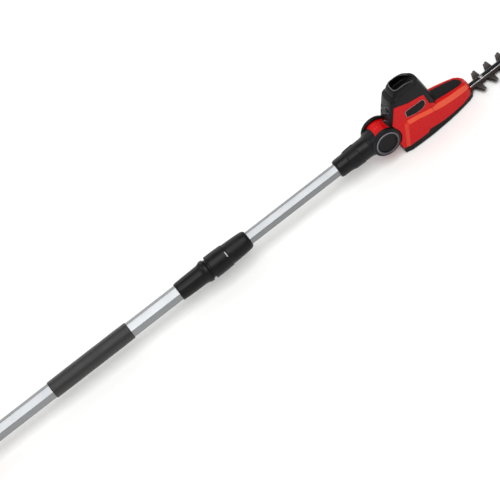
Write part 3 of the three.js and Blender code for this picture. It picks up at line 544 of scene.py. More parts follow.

# ---- the red gear housing ----
# Two glossy red ABS shells screwed together along the middle, 2.2 mm thick. A painted highlight runs
# along the shoulder chamfer and turns down at its rear end; the barrel of the tilt joint is moulded on.
HULL = np.array([  # x, half-width at the base, then half-width and height of three long edges
    [18, 24.0, 24.0, 7, 22.5, 12, 19.5, 15], [40, 27.0, 26.6, 7, 24.2, 14, 21, 18],
    [48, 28.3, 28.0, 6.9, 25.2, 15.7, 22, 19.2], [56, 31.6, 30.8, 6.5, 26.0, 15.5, 22.4, 18.8],
    [75, 32.4, 31.9, 4.6, 26.5, 12.4, 22.4, 15.6], [90, 33, 32.5, 0.5, 26.6, 8, 22, 11],
    [110, 31.5, 31.5, -5.5, 26.5, 2.5, 20.5, 5], [130, 30.3, 30, -12, 25.3, -0.8, 18.4, 0.8],
    [150, 27.8, 27.4, -17, 23.7, -5.3, 17.4, -3.4], [170, 24.4, 24, -22, 20.8, -9.3, 16, -7.8],
    [186, 21.2, 20.8, -25.5, 18.3, -13, 14, -12], [196, 16.8, 16.4, -29, 14, -18.5, 11, -17],
    [201, 9.5, 9.5, -33, 8, -26, 6, -25]])
TOWER = np.array([  # z, rear, front, half-width, length of the rounded front
    [-2, 18.5, 129.5, 26.3, 14], [20, 18.5, 127.5, 25.8, 15], [45, 30.5, 124.5, 25, 17],
    [62, 38.8, 122, 24, 20], [73, 44.4, 119.8, 22.9, 23], [76, 47, 119.2, 22, 24],
    [77, 54, 119, 21, 25], [84, 57.5, 118, 19.5, 27], [91, 64, 115.5, 16.5, 32]])
REAR_CORNER, REAR_POWER, FRONT_POWER = 14.0, 3.2, 2.3
CHEEK = np.array([[22, 20], [23, 20], [46, 62], [56, 59], [67, 54], [78, 50], [90, 48], [102, 46], [110, 43],
                  [110.8, 15.5], [121, 7]])
SKID = np.array([[0, -42], [80, -42], [86, -37], [116, -43], [142, -45], [170, -47], [186, -45], [210, -44]])
INLAY = np.array([[118.5, 16.6], [150, 15.4], [173, 13.6], [184, 11.8], [190, 8], [192, 3], [193, 0.15]])
GROUND = -56.0
NOSE_END = 201.0
ARM_GAP_R = 33.2  # the red shells keep outside this radius round the fork's arms


def leaned(x, z):
    """The station that a point belongs to: below z = 14 stations lean back by 0.35 per mm, fully up
    to x = 60 and not at all from x = 95."""
    return x + 0.35 * np.clip(14 - z, 0, 60) * np.clip((95 - x) / 35, 0, 1)


def hull_half(x, z):
    """Half-width of the housing: from the base it steps linearly through the three long edges, and is
    averaged over 0.8 mm up and 1.2 mm along, which rounds those edges."""
    total = 0
    x = leaned(x, z)
    for dx in (-1.2, 0, 1.2):
        base, y1, z1, y2, z2, y3, z3 = (np.interp(x + dx, HULL[:, 0], HULL[:, k]) for k in range(1, 8))
        for dz in (-0.8, -0.4, 0, 0.4, 0.8):
            h = z + dz
            total = total + base + np.clip((h - GROUND) / (z1 - GROUND), 0, 1) * (y1 - base) \
                + np.clip((h - z1) / (z2 - z1), 0, 1) * (y2 - y1) \
                + np.clip((h - z2) / (z3 - z2), 0, 1) * (y3 - y2) - 6 * np.maximum(h - z3, 0)
    return total / 15


def tower_half(x, z):
    """Half-width of the motor housing: superellipse corners at its rear, a rounder one at its front."""
    rear, front, half, nose = (np.interp(z, TOWER[:, 0], TOWER[:, k]) for k in (1, 2, 3, 4))
    a = np.clip(1 - (x - rear) / REAR_CORNER, 0, 1)
    b = np.clip(1 - (front - x) / nose, 0, 1)
    return half * np.minimum((1 - a ** REAR_POWER) ** (1 / REAR_POWER),
                             (1 - b ** FRONT_POWER) ** (1 / FRONT_POWER))


def side_half(x, z):
    """The larger of the two half-widths, with a 3 mm fillet where they meet."""
    low, high = hull_half(x, z), tower_half(x, z)
    near = np.clip(1 - np.abs(low - high) / 3, 0, 1)
    return np.maximum(low, high) + 0.75 * near ** 2


def cheek_grid():
    """The side from the skid line up to the cheek line; its rear edge follows the arm's clearance,
    x = sqrt(33.2^2 - z^2), wherever that is ahead of x = 22."""
    x, v = np.meshgrid(np.concatenate([np.linspace(22, 109.8, 150), np.linspace(110, 121, 24)]),
                       np.linspace(0, 1, 130))
    low = np.interp(x, SKID[:, 0], SKID[:, 1]) + 0.3
    z = low + v * (np.interp(x, CHEEK[:, 0], CHEEK[:, 1]) - low)
    start = np.maximum(np.sqrt(np.maximum(ARM_GAP_R ** 2 - z ** 2, 0)), 22)
    x = start + (x - 22) / 99 * (121 - start)
    return np.stack([x, -side_half(x, z), z], -1)


def nose_grid():
    """The side and top ahead of the motor: up the hull to its rim, in to the inlay, smoothed with its
    neighbours three times, and drawn together round the nose."""
    x = np.concatenate([np.linspace(120.9, 196, 110), np.linspace(196.5, NOSE_END, 14)])
    rim_y, rim_z = (np.interp(x, HULL[:, 0], HULL[:, k])[None, :] for k in (6, 7))
    base = np.maximum(np.interp(x, SKID[:, 0], SKID[:, 1]) + 0.3, np.where(x > 195, -40.2, -90))[None, :]
    v = np.linspace(0, 1, 90)[:, None]
    z = base + v * (rim_z - base)
    y = np.maximum(hull_half(x[None, :] + 0 * z, z), 0.2)
    w = np.interp(x, INLAY[:, 0], INLAY[:, 1])[None, :] + 0.2
    inward = np.linspace(0, 1, 16)[1:, None]
    y = np.concatenate([y, rim_y + inward * (np.minimum(w, rim_y) - rim_y)])
    z = np.concatenate([z, rim_z + 0 * inward])
    for _ in range(3):
        y[1:-1], z[1:-1] = (y[:-2] + y[1:-1] + y[2:]) / 3, (z[:-2] + z[1:-1] + z[2:]) / 3
    draw = np.array([0.98, 0.93, 0.8, 0.55, 0.25, 0.02])
    last_y, last_z = y[:, -1:], z[:, -1:]
    tip = NOSE_END + 0.5 * np.sqrt(1 - draw ** 2)
    ends = np.stack([tip + 0 * last_y, -last_y * draw, last_z + 0 * draw], -1)
    body = np.stack([x[None, :] + 0 * y, -y, z], -1)
    return np.concatenate([body, ends], 1)


def walled(name, finish, wall, grids, outward, crease=40):
    """An object from open grids, turned so that they face the outward side, with a Solidify wall."""
    points, faces, start = [], [], 0
    for grid in grids:
        n, m = grid.shape[:2]
        index = start + np.arange(n * m).reshape(n, m)
        quads = np.stack([index[:-1, :-1], index[:-1, 1:], index[1:, 1:], index[1:, :-1]], -1).reshape(-1, 4)
        flat = grid.reshape(-1, 3)
        p = flat[quads - start]
        facing = np.cross(p[:, 2] - p[:, 0], p[:, 3] - p[:, 1]).sum(0) @ np.asarray(outward, float)
        faces += (quads if facing > 0 else quads[:, ::-1]).tolist()
        points.append(flat)
        start += n * m
    body = mesh_object(name, np.concatenate(points), faces, finish, crease)
    solid = body.modifiers.new("wall", "SOLIDIFY")
    solid.thickness, solid.offset = wall / 1000, -1.0
    return body


red_abs = moulded("abs_gloss_red", "#C4060A", "#D20C10", 0.26, 0.9, 0.012, 0.05)
red_abs.node_tree.nodes["Principled BSDF"].inputs["Coat Weight"].default_value = 0.05
red_abs.node_tree.nodes["Principled BSDF"].inputs["Coat Roughness"].default_value = 0.12
# A painted highlight on the shoulder chamfer; a value stored on the points says where.
tree = red_abs.node_tree
shader = tree.nodes["Principled BSDF"]
highlight_amount = add(tree, "Attribute", attribute_name="shoulder_highlight")
under = shader.inputs["Base Color"].links[0].from_socket
highlighted_colour = add(tree, "Mix", {"Factor": highlight_amount.outputs["Fac"], "A": under, "B": linear("#DE553A")},
               data_type="RGBA")
tree.links.new(highlighted_colour.outputs["Result"], shader.inputs["Base Color"])


def shoulder_highlight(points):
    """The painted highlight: 1 on the chamfer between the housing's two upper long edges ahead of x = 55,
    and 0.45 on the strip where it turns down at its rear end."""
    x, z = points.T[[0, 2]]
    z1, z2 = (np.interp(x, HULL[:, 0], HULL[:, k]) for k in (3, 5))
    low = hull_half(x, z) >= tower_half(x, z) - 0.3
    top = box_mask(z, z1 + 0.2, z2 - 0.2, 1.0) * box_mask(x, 55.0, 198.0, 4.0) * low
    turned_down = box_mask(leaned(x, z), 48.0, 55.5, 2.0) * box_mask(z, -60.0, 12.0, 4.0)
    return np.maximum(top, 0.45 * turned_down)


for side, hand in ((1, "right"), (-1, "left")):
    flip = np.array([1, side, 1])
    shell_half = walled("gear_housing_" + hand, red_abs, 1.2, [cheek_grid() * flip, nose_grid() * flip],
                        (0, -side, 0.3))
    paint(shell_half, "shoulder_highlight", shoulder_highlight)
    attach(shell_half, "head")
    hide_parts("housing_" + hand)

barrel_line = soften([[-18.2, 15.4], [-18.2, 27], [-0.5, 27], [0, 26.4], [0.5, 27], [18.2, 27],
                      [18.2, 15.4]], 0.7, 4, True)
bridge = soften([[14, -20], [14, 21.5], [19, 20.6], [21, 19.9], [40, 19.9], [40, -43], [22.5, -43],
                 [20, -30]], 1.2, 4, True)
spread = np.array([-18.1, -18.0, -17.5, -16.7, 16.7, 17.5, 18.0, 18.1])
inset = np.array([0.9, 0.95, 0.985, 1, 1, 0.985, 0.95, 0.9])
centre = bridge.mean(0)
drawn_in = centre + (bridge - centre) * inset[:, None, None]
block = np.stack([drawn_in[..., 0], spread[:, None] + 0 * drawn_in[..., 0], drawn_in[..., 1]], -1)
barrel = piece("tilt_barrel", red_abs, shell(turned(barrel_line, 120, "y"), True), shell(block))
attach(barrel, "head")

# ---- the motor cap ----
# A black nylon moulding that fits over the motor between the red cheeks. It has a hollowed top that
# falls forward, three slanted cooling slots at the rear and a fine parting gap along the red shells.
ROOF = np.array([[40, 87.5], [56, 89.0], [70, 90.5], [84, 90.6], [91, 89.8], [97, 87.4], [104, 83.0],
                 [111, 78.2], [120, 74.0], [130, 70.0]])
DISH_FLOOR = 75.7
LIP = 1.9  # width of the dish's lip
VENTS = (30.0, 46.5, 58.5)  # heights of the cooling slots at y = 0; they fall by 0.5 per mm of y


def cap_outline():
    """Half of the cap's plan, evenly spaced, as rear, straight and front parts: each is [share of its
    length, share of the half-width]."""
    t = np.linspace(0, np.pi / 2, 400)
    rear = np.stack([1 - np.cos(t) ** (2 / REAR_POWER), np.sin(t) ** (2 / REAR_POWER)], 1)
    front = np.stack([1 - np.cos(t) ** (2 / FRONT_POWER), np.sin(t) ** (2 / FRONT_POWER)], 1)
    rear = spaced(rear * [REAR_CORNER, 25], 84) / [REAR_CORNER, 25]
    front = spaced(front * [20, 25], 40)[::-1] / [20, 25]
    return rear, np.linspace(0, 1, 34)[1:-1], front


def cap_rows():
    """Rings up the wall, each clipped to the roof line; then the rim, the dish wall and its floor.
    Below the cheek line the wall steps in 1.3 mm, and the cooling slots are recesses sunk 2.4 mm."""
    z = np.concatenate([np.linspace(-1.5, 20.2, 23), np.linspace(20.35, 84, 190), np.linspace(84.3, 91, 16)])
    rear, straight, front = cap_outline()
    back, ahead, half, nose = (np.interp(z, TOWER[:, 0], TOWER[:, k])[:, None] for k in (1, 2, 3, 4))
    back = np.where(z[:, None] < 20.3, 34.0, back)
    x = np.concatenate([back + REAR_CORNER * rear[:, 0] + 0 * half,
                        back + REAR_CORNER + straight * (ahead - nose - back - REAR_CORNER),
                        ahead - nose * front[:, 0]], 1)
    y = np.concatenate([half * rear[:, 1], half + 0 * straight * half, half * front[:, 1]], 1)
    height = z[:, None] + 0 * x
    depth = np.interp(x, CHEEK[:, 0], CHEEK[:, 1]) + 0.35 - height
    step = 1.3 * np.clip(depth / 0.5, 0, 1)
    face = np.clip((back + 9 - x) / 3, 0, 1)
    slots = sum(box_mask(height + 0.5 * y, c - 2.8, c + 2.8, 1.5) for c in VENTS)
    recess = 2.4 * slots * box_mask(y, -11.0, 19.0, 1.6) * face
    ridge = 0.7 * box_mask(height, 74.5, 76.5, 1.5) * box_mask(y, 12, 19.5, 2) * face
    centre = (back + ahead) / 2
    towards_axis = np.stack([(x - centre) / 45, y / 25], -1)
    towards_axis /= np.maximum(np.linalg.norm(towards_axis, axis=-1, keepdims=True), 1e-6)
    moved = (step - ridge)[..., None] * towards_axis
    x, y = x - moved[..., 0] + recess, y - moved[..., 1]
    limit = np.interp(x, ROOF[:, 0], ROOF[:, 1])
    rounding = 0.6 * np.clip((height - limit + 3) / 3, 0, 1) ** 2 * (height < limit + 9)
    height = np.minimum(height, limit - rounding)
    side = np.stack([x, y, height], -1)
    rim = side[-1]
    core = np.array([88.0, 0.0])  # the dish's middle
    away = rim[:, :2] - core
    reach = np.linalg.norm(away, axis=1, keepdims=True)
    steps = [(0.25, 0.35), (0.8, 0.5), (1.0, 0.3), (1.12, -0.6), (1.25, -2.5), (1.6, -6.0)]
    inner = [np.column_stack([core + away * (1 - LIP * w / reach),
                              np.maximum(rim[:, 2] + dz, DISH_FLOOR + 0.05)]) for w, dz in steps]
    last = inner[-1]
    fall = [np.column_stack([core + (last[:, :2] - core) * s, DISH_FLOOR + (last[:, 2] - DISH_FLOOR) * f])
            for s, f in ((0.985, 0.6), (0.97, 0.3), (0.95, 0.1), (0.9, 0.02), (0.6, 0.0), (0.2, 0.0))]
    half_rows = np.concatenate([side, np.array(inner), np.array(fall)])
    other = half_rows[:, 1:-1][:, ::-1] * [1, -1, 1]
    return np.concatenate([half_rows, other], 1)


cap_nylon = moulded("glass_filled_nylon_dark", "#0D0D0E", "#2A2A2D", 0.36, 0.6, 0.035)
cap_skin = cap_rows()
cap = piece("motor_cap_shell", cap_nylon, shell(cap_skin), crease=34)


def by_rows(runs, at_middle):
    """Values over the cap's points: each run of rows (from, to, value) is counted from the last row.
    The skin's two closing points follow, at the first row's middle and at the last row's."""
    weights = np.zeros(cap_skin.shape[:2])
    for start, end, amount in runs:
        weights[len(weights) - start:len(weights) - end] = amount
    return np.append(weights.ravel(), [0, at_middle])


def cap_painted_shade(points):
    """Painted shade on the dish, which is its last nine rows, and on the floors of the cooling slots."""
    x, y, z = points.T
    back = np.interp(z, TOWER[:, 0], TOWER[:, 1])
    slot = sum(box_mask(z + 0.5 * y, c - 2.7, c + 2.7, 0.6) for c in VENTS)
    slot = slot * box_mask(y, -11.3, 19.3, 0.8) * (x < back + 12)
    return np.clip(by_rows([(8, 0, 1.0), (9, 8, 0.5)], 1.0) + slot, 0, 1)


def cap_painted_highlights(points):
    """Painted highlights on the narrow lip round the dish, and on the sills of the cooling slots near their
    open ends.
    """
    x, y, z = points.T
    back = np.interp(z, TOWER[:, 0], TOWER[:, 1])
    sill_highlight = sum(box_mask(z + 0.5 * y, c - 4.2, c - 2.9, 0.5) for c in VENTS)
    sill_highlight = 0.45 * sill_highlight * box_mask(y, -12.5, 6, 2) * (x < back + 4)
    return np.clip(by_rows([(13, 10, 0.42)], 0.42) * (x < 108) + sill_highlight, 0, 1)


# Painted shade darkens the dish and the slot floors; painted highlights pale the dish's lip and the slot
# sills.
paint(cap, "painted_shade", cap_painted_shade)
paint(cap, "painted_highlight", cap_painted_highlights)
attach(cap, "head")
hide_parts("motor_cap")

# ---- the soft inlay, the badges and the skid plate ----
# The inlay is a matt rubbery strip set into the top of the housing. Each badge is a blank gloss plate
# in a satin silver rim. The skid plate is the black sole that the tool rests and slides on.
def inlay_rows():
    """Rounded slabs across the housing at each station: |y/w|^4 + |h/t|^4 = 1 about its rim line."""
    x = np.concatenate([[118.6], np.linspace(119, 190, 90), np.linspace(190.4, 192.6, 8)])
    w = np.maximum(np.interp(x, INLAY[:, 0], INLAY[:, 1]) - 0.1, 0.4)[:, None]
    z = np.interp(x, HULL[:, 0], HULL[:, 7])[:, None] - 0.55
    angle = np.arange(72) * np.pi / 36
    c, s = np.cos(angle)[None], np.sin(angle)[None]
    r = (np.abs(c) ** 4 + np.abs(s) ** 4) ** -0.25
    return np.stack([x[:, None] + 0 * r * w, r * c * w, z + 1.25 * r * s - 0.0012 * (r * c * w) ** 2], -1)


rubber = moulded("tpe_overmould_matt_black", "#101011", "#1F1F21", 0.6, 0.7, 0.06, 0.03)
inlay = piece("top_inlay_strip", rubber, shell(inlay_rows()), crease=50)
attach(inlay, "head")
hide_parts("top_inlay")

BADGE = [[58.5, 23], [60.5, 38], [104, 36], [106, 27], [103, 20.5], [95, 16.8], [79, 16.4], [63, 21.5]]


def badge_rows(grow, heights, sizes, side):
    """Rings from the badge's outline, scaled about its middle, standing off the housing by heights."""
    ring = soften(BADGE, 3.0, 5, True)
    middle = ring.mean(0)
    out = (ring - middle) / np.linalg.norm(ring - middle, axis=1, keepdims=True)
    flat = middle + (ring + out * grow - middle) * np.array(sizes)[:, None, None]
    stand = side_half(flat[..., 0], flat[..., 1]) + np.array(heights)[:, None]
    return np.stack([flat[..., 0], side * stand, flat[..., 1]], -1)


plate_finish = moulded("polycarbonate_gloss_black", "#060607", "#101012", 0.12, 2.0, 0.005, 0.0)
rim_finish, tree, shader, coords = surface("vacuum_plated_silver_satin")
# Satin vacuum plating over plastic: bright grey with a fine brushed unevenness of 0.3 mm.
brushed = add(tree, "TexNoise", {"Vector": coords, "Scale": 3000.0, "Detail": 2.0})
satin = add(tree, "MapRange", {"Value": brushed.outputs["Fac"], "To Min": 0.22, "To Max": 0.4})
tree.links.new(satin.outputs["Result"], shader.inputs["Roughness"])
shader.inputs["Base Color"].default_value = linear("#BDBDBF")
shader.inputs["Metallic"].default_value = 1.0
for side, hand in ((-1, "right"), (1, "left")):
    plate = piece("blank_badge_" + hand, plate_finish, shell(badge_rows(
        -0.9, [-1.0, 0.5, 0.9, 1.0, 1.1, 1.1], [1, 1, 0.985, 0.96, 0.5, 0.1], side)))
    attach(plate, "head")
    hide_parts("badge_" + hand)
    rim = piece("badge_rim_" + hand, rim_finish, shell(badge_rows(
        0.0, [-1.0, 0.6, 1.0, 1.0, 0.6, -1.0], [1.0, 1.0, 0.995, 0.975, 0.965, 0.96], side), True))
    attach(rim, "head")


def skid_grid():
    """The sole: down one side from the skid line, round a 3 mm corner, across and up the other side,
    with its ends closed by sections drawn in to the middle."""
    x = np.concatenate([[22, 22, 22.1, 22.4], np.linspace(23, 195, 150), np.linspace(195.6, NOSE_END, 10),
                        [201.4, 201.6, 201.6]])
    draw = np.concatenate([[0.02, 0.93, 0.97, 0.99], np.ones(160), [0.97, 0.8, 0.02]])[None, :]
    top = np.interp(x, SKID[:, 0], SKID[:, 1])[None, :]
    front = np.clip((x[None, :] - 198.5) / 1.5, 0, 1)
    top = top + (-50.4 - top) * front
    down = np.linspace(0, 1, 26)[:, None]
    z = top + down * (GROUND + 3 - top)
    y = hull_half(np.clip(x[None, :], 18, 200.6) + 0 * z, np.maximum(z, -54))
    corner = np.linspace(0, np.pi / 2, 9)[1:, None]
    edge = y[-1:]
    y = np.concatenate([y, edge - 3 * (1 - np.cos(corner)), (edge - 3) * np.linspace(1, 0.02, 16)[1:, None]])
    z = np.concatenate([z, GROUND + 3 - 3 * np.sin(corner) + 0 * edge, GROUND + 0 * edge * np.ones((15, 1))])
    groove = 0.5 * box_mask(z, -47.0, -46.2, 0.4) * box_mask(x[None, :], 90, 190, 4)
    y = np.maximum(y - groove, 0.05) * draw
    x = x[None, :] + 0 * y
    half = np.stack([x, -y, z], -1)
    return np.concatenate([half, half[::-1] * [1, -1, 1]])


sole_nylon = moulded("nylon_sole_black", "#0A0A0B", "#222224", 0.34, 0.5, 0.03)
skid = walled("skid_sole", sole_nylon, 1.5, [skid_grid()], (0, 0, -1))
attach(skid, "head")
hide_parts("skid_plate")

# ---- the drive inside the head ----
# A can motor turns a steel pinion and a 50-tooth gear, whose shaft carries two opposed cams. They run
# in two bearings between a cast plate and a cast case. Ground and plated parts, pressed and screwed.
def metal(name, light, dark, gloss, size, worn=0.0):
    """Bare or plated metal: a tone that wanders between two colours over size mm, scratches a tenth
    as wide in the sheen, and brighter rubbed edges."""
    material, tree, shader, coords = surface(name)
    cloud = add(tree, "TexNoise", {"Vector": coords, "Scale": 1000.0 / size, "Detail": 5.0,
                                   "Roughness": 0.6})
    fine = add(tree, "TexNoise", {"Vector": coords, "Scale": 10000.0 / size, "Detail": 2.0})
    edge = add(tree, "NewGeometry")
    rub = add(tree, "MapRange", {"Value": edge.outputs["Pointiness"], "From Min": 0.53, "From Max": 0.6,
                                 "To Min": 0.0, "To Max": worn})
    tone = add(tree, "Mix", {"Factor": cloud.outputs["Fac"], "A": linear(light), "B": linear(dark)},
               data_type="RGBA")
    bare = add(tree, "Mix", {"Factor": rub.outputs["Result"], "A": tone.outputs["Result"],
                             "B": linear("#B4B0AC")}, data_type="RGBA")
    sheen = add(tree, "MapRange", {"Value": fine.outputs["Fac"], "To Min": gloss - 0.08,
                                   "To Max": gloss + 0.1})
    bump = add(tree, "Bump", {"Height": fine.outputs["Fac"], "Strength": 0.3, "Distance": 0.00002})
    tree.links.new(bare.outputs["Result"], shader.inputs["Base Color"])
    tree.links.new(sheen.outputs["Result"], shader.inputs["Roughness"])
    tree.links.new(bump.outputs["Normal"], shader.inputs["Normal"])
    shader.inputs["Metallic"].default_value = 0.95
    return material


zinc = metal("zinc_plated_steel", "#A9ABAE", "#83858A", 0.34, 6.0)
cast = metal("die_cast_aluminium", "#9C9DA0", "#7C7D80", 0.5, 3.0)
ground = metal("hardened_ground_steel", "#8E8E90", "#6C6C6F", 0.26, 4.0)
dress(zinc, "motor_can")
dress(nylon, "motor_endcap")
dress(cast, "motor_plate", "gear_case")
dress(ground, "bearing_upper", "bearing_lower", "motor_pinion", "drive_gear", "crank_shaft")

# ---- the cutting bar ----
# A blued spring-steel guide bar with ground edges holds two stamped, hardened blades that slide against
# each other. Five domed rivets in slots keep the stack together.
BAR = {"from": 135.0, "to": 640.0, "half": 5.0, "top": -41.0, "bottom": -45.0}
RIVETS = (232, 324, 416, 508, 600)


def bar_rows():
    """A 10 x 4 mm section with 0.6 mm rounded edges along the bar, whose last 10 mm narrows as
    sqrt(1 - t^2) to a blunt round end."""
    outline = soften([[-BAR["half"], BAR["bottom"]], [-BAR["half"], BAR["top"]], [BAR["half"], BAR["top"]],
                      [BAR["half"], BAR["bottom"]]], 0.6, 4, True)
    t = np.sin(np.linspace(0, np.pi / 2, 14))
    x = np.concatenate([[BAR["from"]], np.linspace(BAR["from"] + 1, BAR["to"] - 10, 60),
                        BAR["to"] - 10 + 10 * t[1:]])
    width = np.concatenate([np.ones(61), np.sqrt(np.maximum(1 - t[1:] ** 2, 0.004))])
    return np.stack([x[:, None] + 0 * outline[None, :, 0], width[:, None] * outline[None, :, 0],
                     0 * x[:, None] + outline[None, :, 1]], -1)


blued = metal("blued_spring_steel", "#1C1C1F", "#2C2B2B", 0.3, 12.0, 0.5)
tree = blued.node_tree
shader = tree.nodes["Principled BSDF"]
# The long edges are ground bright: beyond 4.55 mm from the middle the bare steel shows.
coords = add(tree, "TexCoord").outputs["Object"]
split = add(tree, "SeparateXYZ", {"Vector": coords})
distance = add(tree, "Math", {0: split.outputs["Y"]}, operation="ABSOLUTE")
bright = add(tree, "MapRange", {"Value": distance.outputs[0], "From Min": 0.00445, "From Max": 0.00465})
under = shader.inputs["Base Color"].links[0].from_socket
ground_edge = add(tree, "Mix", {"Factor": bright.outputs["Result"], "A": under, "B": linear("#DADADB")},
                  data_type="RGBA")
tree.links.new(ground_edge.outputs["Result"], shader.inputs["Base Color"])
bar = piece("guide_bar_ground", blued, shell(bar_rows()), crease=40)
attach(bar, "head")
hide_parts("guide_bar")


def eased(name, finish, source, width, steps=2, crease=34):
    """A part as it was drawn, with its facets joined into flat faces and its edges rounded."""
    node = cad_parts[source]
    mesh = node.data.copy()
    mesh.transform(node.matrix_world)
    work = bmesh.new()
    work.from_mesh(mesh)
    bmesh.ops.remove_doubles(work, verts=work.verts, dist=1e-6)
    bmesh.ops.dissolve_limit(work, angle_limit=math.radians(1), verts=work.verts, edges=work.edges)
    work.to_mesh(mesh)
    work.free()
    mesh.polygons.foreach_set("use_smooth", np.ones(len(mesh.polygons), bool))
    mesh.set_sharp_from_angle(angle=math.radians(crease))
    mesh.materials.clear()
    mesh.materials.append(finish)
    body = bpy.data.objects.new(name, mesh)
    scene.collection.objects.link(body)
    round_over = body.modifiers.new("edges", "BEVEL")
    round_over.width, round_over.segments = width / 1000, steps
    round_over.limit_method, round_over.angle_limit = "ANGLE", math.radians(crease)
    round_over.harden_normals = True
    return body


blade_steel = metal("hardened_blade_steel_oiled", "#3A302A", "#241F1D", 0.32, 25.0, 0.6)
for level, body in (("upper", "blade_top"), ("lower", "blade_bottom")):
    blade = eased("cutting_blade_" + level, blade_steel, level + "_blade", 0.35)
    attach(blade, body)
    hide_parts(level + "_blade")

rivet_line = soften([[-52.2, 0.2], [-52.1, 2.2], [-51.3, 3.8], [-50.5, 4.5], [-49.95, 4.6],
                     [-49.95, 2.2], [-40.7, 2.2], [-40.7, 4.6], [-40.2, 4.5], [-39.3, 3.8],
                     [-38.5, 2.2], [-38.4, 0.2]], 0.4, 3)
for number, x in enumerate(RIVETS, 1):
    rivet = piece("blade_rivet_domed_%d" % number, zinc, shell(turned(rivet_line, 32, "z", (x, 0))))
    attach(rivet, "head")
    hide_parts("blade_rivet_%d" % number)

# ---- the rear handle ----
# Red ABS shells screwed round the pole's end: a collar, a hand grip, a guard loop and the housing that
# the battery slides on to. A ribbed rubber sleeve is moulded on to the grip.
def section_rows(table, power, inset=1.5):
    """Superellipse rings |y/a|^p + |(z-c)/b|^p = 1 from rows of x, half-width, top and bottom, with
    rounded end edges."""
    table = np.asarray(table, float)
    x = np.linspace(table[0, 0], table[-1, 0], 90)
    half, top, bottom = (np.interp(x, table[:, 0], table[:, k]) for k in (1, 2, 3))
    kernel = np.ones(5) / 5
    for values in (half, top, bottom):
        values[2:-2] = np.convolve(values, kernel, "valid")
    end = np.clip(np.minimum(x - x[0], x[-1] - x) / inset, 0, 1)
    shrink = inset * (1 - np.sqrt(1 - (1 - end) ** 2))
    a = np.arange(96) * np.pi / 48
    c, s = np.cos(a), np.sin(a)
    r = (np.abs(c) ** power + np.abs(s) ** power) ** (-1 / power)
    y = (half - shrink)[:, None] * r * c
    z = ((top + bottom) / 2)[:, None] + ((top - bottom) / 2 - shrink)[:, None] * r * s
    return np.stack([x[:, None] + 0 * y, y, z], -1)


def strap_rows(route, thick, half, count=80):
    """A flat strap in the middle plane along a route rounded at its corners, with an oval section."""
    middle = spaced(soften(route, 16, 8), count)
    along = np.gradient(middle, axis=0)
    along /= np.linalg.norm(along, axis=1, keepdims=True)
    normal = np.stack([-along[:, 2], 0 * along[:, 0], along[:, 0]], -1)
    a = np.arange(48) * np.pi / 24
    r = (np.abs(np.cos(a)) ** 3 + np.abs(np.sin(a)) ** 3) ** (-1 / 3)
    return middle[:, None] + thick * (r * np.cos(a))[None, :, None] * normal[:, None] \
        + half * (r * np.sin(a))[None, :, None] * np.array([0.0, 1.0, 0.0])


def block_rows(x0, x1, y0, y1, z0, z1):
    """A plain box as two rings."""
    ring = np.array([[y0, z0], [y1, z0], [y1, z1], [y0, z1]], float)
    return np.stack([np.column_stack([np.full(4, x), ring]) for x in (x0, x1)])


def evaluated(body):
    """The body's mesh with its modifiers applied; the body itself is removed."""
    graph = bpy.context.evaluated_depsgraph_get()
    mesh = bpy.data.meshes.new_from_object(body.evaluated_get(graph))
    bpy.data.objects.remove(body)
    return mesh


def fused(name, finish, solids, rooms, voxel=1.1, ratio=0.3, crease=40):
    """Skins blended into one moulding, with fillets where they meet, then cut by plain rooms."""
    lump = piece(name + "_lump", finish, *solids)
    grid = lump.modifiers.new("join", "REMESH")
    grid.mode, grid.voxel_size = "VOXEL", voxel / 1000
    ease = lump.modifiers.new("fillets", "SMOOTH")
    ease.factor, ease.iterations = 0.5, 14
    fewer = lump.modifiers.new("fewer", "DECIMATE")
    fewer.ratio = ratio
    body = bpy.data.objects.new(name, evaluated(lump))
    scene.collection.objects.link(body)
    for number, room in enumerate(rooms):
        tool = piece("room_%d" % number, finish, shell(room))
        hollow = body.modifiers.new("room", "BOOLEAN")
        hollow.operation, hollow.solver, hollow.object = "DIFFERENCE", "MANIFOLD", tool
        mesh = evaluated(body)
        bpy.data.objects.remove(tool)
        body = bpy.data.objects.new(name, mesh)
        scene.collection.objects.link(body)
    body.data.name = name
    body.data.polygons.foreach_set("use_smooth", np.ones(len(body.data.polygons), bool))
    body.data.set_sharp_from_angle(angle=math.radians(crease))
    body.data.materials.clear()
    body.data.materials.append(finish)
    return body


HAND_GRIP = [  # x, half-width, top, bottom
    [-1254, 21, 33, -20], [-1244, 19, 31, -13], [-1228, 17.4, 28, -10.5], [-1210, 17, 27, -10],
    [-1150, 17, 28, -10], [-1112, 17.5, 30.6, -10.5], [-1100, 18.5, 31, -14],
    [-1084, 20.5, 28.5, -21], [-1060, 23, 26, -24.5], [-1036, 24, 25, -24.8]]
REAR_BODY = [[-1302, 30, 44, -56], [-1280, 30, 41, -56], [-1262, 29, 36, -55.8], [-1250, 25, 33, -52],
             [-1240, 18, 29, -42]]
collar_profile = soften([[-1084, 0.5], [-1084, 21], [-1079, 24.2], [-1060, 25], [-1016, 25], [-1010.5, 23.6],
                         [-1008, 21], [-1008, 0.5]], 2.0, 5)
seat_outline = spaced(hexagon(30.8, CORNER), 31)[:-1]
tube_seat = np.stack([np.column_stack([np.full(30, x), seat_outline]) for x in (-1091, -1000)])
handle = fused("rear_handle_shell", red_abs, [
    shell(turned(collar_profile, 72)), shell(section_rows(HAND_GRIP, 2.7)),
    shell(section_rows(REAR_BODY, 5.0, 2.0)),
    shell(strap_rows([[-1262, 0, -50.2], [-1216, 0, -50.2], [-1142, 0, -50.2], [-1112, 0, -46.5],
                      [-1090, 0, -33], [-1074, 0, -12], [-1066, 0, 4]], 5.6, 14.5)),
], [tube_seat, block_rows(-1244, -1092, -13.6, 13.6, -6, 22), block_rows(-1299.8, -1243.2, -25, 25, -46, 29),
    block_rows(-1152, -1098, -7.4, 7.4, -30, -4), block_rows(-1128.4, -1101.6, -8.4, 8.4, 18, 40),
    block_rows(-1304, -1298, -12, 12, -20, 12)])
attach(handle, "pole")
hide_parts("handle_right", "handle_left")


